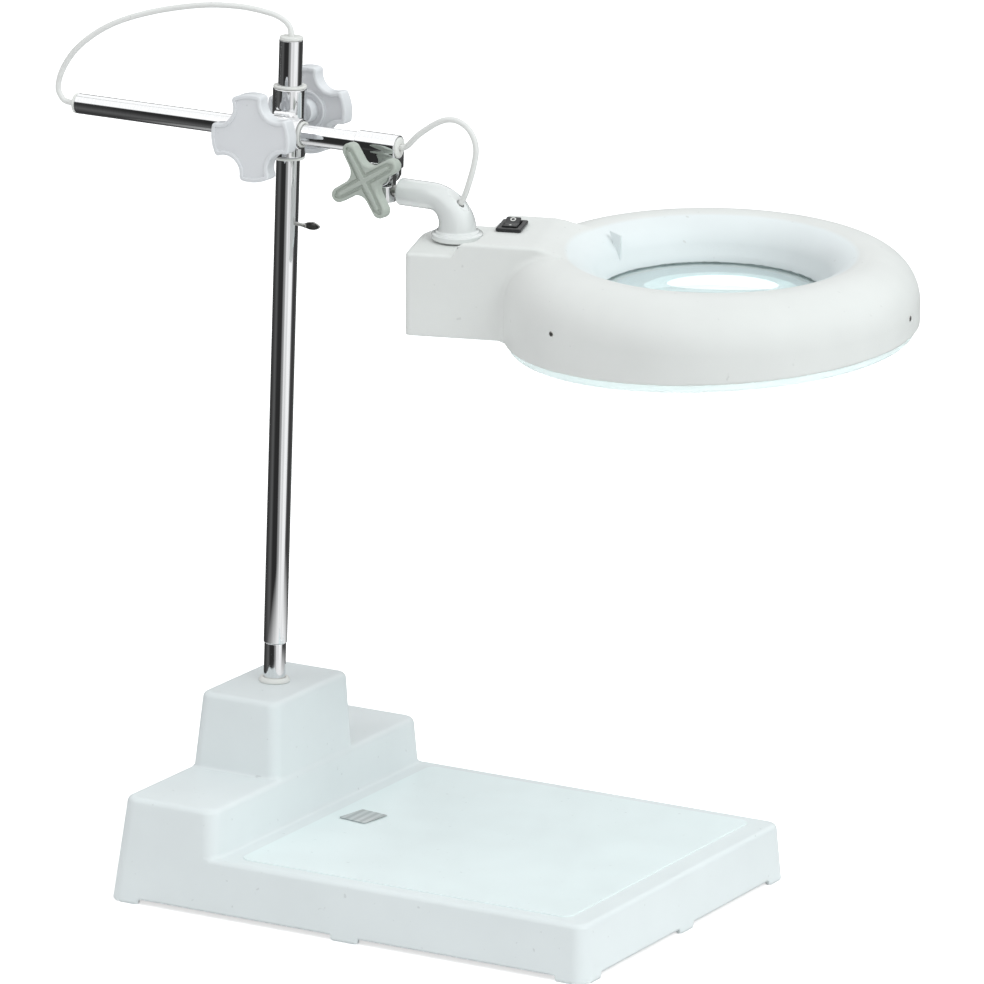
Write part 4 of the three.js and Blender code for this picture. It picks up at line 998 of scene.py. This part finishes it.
def make_switch():
    mesh = skin("switch_bezel", bezel_field, (-8, -11, -18), (8, 11, 3), 0.35, SWITCH)
    add(mesh, "head", "black_plastic", "switch_frame")
    pivot = HEAD @ Matrix.Translation((SWITCH_X, SWITCH_Y, 7)) @ Matrix.Rotation(ROCKER_REST, 4, "X")
    mesh = skin("switch_paddle", rocker_field, (-4.5, -7, -4), (4.5, 7, 6), 0.3, pivot)
    add(mesh, "rocker", "black_plastic", "switch_rocker")
    lift = ROCKER_RISE + ROCKER_SLOPE * MARK_AWAY
    tilt = math.atan(ROCKER_SLOPE)
    for name, side, outline in (
        ("switch_off_ring", 1, [(1.0, -0.3), (1.7, -0.3), (1.7, 0.16), (1.0, 0.16)]),
        ("switch_on_dot", -1, [(0, -0.3), (0.75, -0.3), (0.75, 0.16), (0, 0.16)]),
    ):
        lean = Matrix.Rotation(tilt * side, 4, "X")
        place = pivot @ Matrix.Translation((0, MARK_AWAY * side, lift)) @ lean
        add(turned(name, outline, place, 0.06, 40), "rocker", "nylon")


make_switch()


# ------------------------------------------------------------------ CAD nodes that stay
def dress_cad_nodes():
    """Every CAD node takes its slot's finish; the ones that show keep crisp edges and round sides."""
    for row in frame["record"]["subparts"]:
        piece = frame["nodes"][row["node"]]
        paint(piece, row["material_slot"])
        piece.data.polygons.foreach_set("use_smooth", np.ones(len(piece.data.polygons), bool))
        piece.data.set_sharp_from_angle(angle=math.radians(32))


dress_cad_nodes()


# ------------------------------------------------------------------ studio
# share of a full turn from -X through -Y, +X and +Y, and the brightness that chrome mirrors there
BEARING_BANDS = [
    (0.0, 0.04), (0.1, 0.12), (0.16, 0.03), (0.26, 0.03), (0.285, 0.28), (0.325, 0.4), (0.345, 1.0),
    (0.4, 0.8), (0.44, 1.15), (0.52, 1.05), (0.555, 0.12), (0.62, 0.04), (0.8, 0.12), (1.0, 0.04),
]
# sine of elevation, and how far the bright ceiling takes over from the bands
HEIGHT_BANDS = [(0.0, 0.0), (0.3, 0.0), (0.4, 1.0), (1.0, 1.0)]
CEILING, SKY, WHITE = (1.25, 1.25, 1.25, 1), (0.715, 0.725, 0.735, 1), (1, 1, 1, 1)
FLOOR_GLOW, FLOOR_HALF = 0.65, 12.0


def set_ramp(node, stops):
    ramp = node.color_ramp
    while len(ramp.elements) > 1:
        ramp.elements.remove(ramp.elements[-1])
    for i, (where, level) in enumerate(stops):
        element = ramp.elements[0] if i == 0 else ramp.elements.new(where)
        element.position = where
        element.color = (level, level, level, 1)


def make_world():
    """White to the eye and evenly grey to matt surfaces; only mirror-like ones pick up dark bands."""
    world = bpy.data.worlds.new("studio")
    bpy.context.scene.world = world
    world.use_nodes = True
    tree = world.node_tree
    tree.nodes.clear()
    direction = add_node(tree, "ShaderNodeTexCoord").outputs["Generated"]
    east, north, up = add_node(tree, "ShaderNodeSeparateXYZ", {0: direction}).outputs
    bearing = add_node(tree, "ShaderNodeMath", {0: north, 1: east}, operation="ARCTAN2").outputs[0]
    turns = {0: bearing, 1: -math.pi, 2: math.pi, 3: 0, 4: 1}
    share = add_node(tree, "ShaderNodeMapRange", turns).outputs[0]
    bands = add_node(tree, "ShaderNodeValToRGB", {0: share})
    set_ramp(bands, BEARING_BANDS)
    heights = add_node(tree, "ShaderNodeValToRGB", {0: up})
    set_ramp(heights, HEIGHT_BANDS)
    path = add_node(tree, "ShaderNodeLightPath").outputs
    direct = {0: path["Is Camera Ray"], 1: path["Is Transmission Ray"]}
    seen = add_node(tree, "ShaderNodeMath", direct, operation="MAXIMUM").outputs[0]
    colour = bands.outputs[0]
    for factor, first, second in (
        (heights.outputs[0], None, CEILING),
        (path["Is Glossy Ray"], SKY, None),
        (seen, None, WHITE),
    ):
        inputs = {0: factor, 6: first or colour, 7: second or colour}
        colour = add_node(tree, "ShaderNodeMix", inputs, data_type="RGBA").outputs[2]
    background = add_node(tree, "ShaderNodeBackground", {0: colour})
    add_node(tree, "ShaderNodeOutputWorld", {0: background.outputs[0]})


def area_light(name, place, aim, size, power):
    data = bpy.data.lights.new(name, "AREA")
    data.shape, data.size, data.energy = "DISK", size, power
    lamp = bpy.data.objects.new(name, data)
    bpy.context.scene.collection.objects.link(lamp)
    lamp.location = place
    lamp.rotation_mode = "QUATERNION"
    lamp.rotation_quaternion = (Vector(aim) - Vector(place)).to_track_quat("-Z", "Y")


def sun(name, towards, angle, strength, colour):
    """Broad soft light from one direction, left out of mirror reflections."""
    data = bpy.data.lights.new(name, "SUN")
    data.angle, data.energy, data.color = math.radians(angle), strength, colour
    lamp = bpy.data.objects.new(name, data)
    bpy.context.scene.collection.objects.link(lamp)
    lamp.rotation_mode = "QUATERNION"
    lamp.rotation_quaternion = Vector(towards).to_track_quat("Z", "Y")
    lamp.visible_glossy = False


def floor_look():
    """Pale paper; mirror-like surfaces see it white close by and banded by bearing further out."""
    look = Look("floor_paper", Specular_IOR_Level=0.2)
    look.shader.inputs["Emission Color"].default_value = WHITE
    base = look.mix(look.between(look.noise(3, 2), 0, 1), (0.81, 0.81, 0.81, 1), (0.83, 0.83, 0.83, 1))
    look.shader.inputs["Roughness"].default_value = 0.8
    look.drive(Base_Color=base)
    split = look.add("ShaderNodeSeparateXYZ", {0: look.place()})
    bearing = look.add("ShaderNodeMath", {0: split.outputs[1], 1: split.outputs[0]}, operation="ARCTAN2")
    bands = look.add("ShaderNodeValToRGB", {0: look.between(bearing.outputs[0], 0, 1, -math.pi, math.pi)})
    set_ramp(bands, BEARING_BANDS)
    distance = look.add("ShaderNodeVectorMath", {0: look.place()}, operation="LENGTH").outputs["Value"]
    near = look.between(distance, 1, 0, 0.28, 0.5)
    mirrored = look.add("ShaderNodeEmission", {0: look.mix(near, bands.outputs[0], WHITE)})
    path = look.add("ShaderNodeLightPath").outputs
    direct = {0: path["Is Camera Ray"], 1: path["Is Transmission Ray"]}
    seen = look.add("ShaderNodeMath", direct, operation="MAXIMUM")
    look.drive(Emission_Strength=look.between(seen.outputs[0], 0, FLOOR_GLOW, 0, 1))
    reflected = look.add("ShaderNodeMath", {0: path["Is Glossy Ray"], 1: path["Is Transmission Ray"]},
                         operation="SUBTRACT", use_clamp=True)
    chosen = look.add("ShaderNodeMixShader", {0: reflected.outputs[0], 1: look.shader.outputs[0]})
    look.tree.links.new(mirrored.outputs[0], chosen.inputs[2])
    output = look.tree.nodes["Material Output"]
    look.tree.links.new(chosen.outputs[0], output.inputs[0])
    return look.material


def make_floor():
    half = FLOOR_HALF
    outline = [(-half, -half, 0), (half, -half, 0), (half, half, 0), (-half, half, 0)]
    mesh = mesh_of("floor", outline, [(0, 1, 2, 3)])
    floor = bpy.data.objects.new("floor", mesh)
    bpy.context.scene.collection.objects.link(floor)
    mesh.materials.append(floor_look())


make_world()
make_floor()
sun("window", towards=(0.25, -0.04, 0.27), angle=40, strength=1.15, colour=(0.92, 1.0, 1.0))
area_light("softbox", place=(-1.2, -2.2, 2.6), aim=(0, 0, 0.3), size=1.4, power=4)
bpy.context.scene.view_settings.view_transform = "Standard"
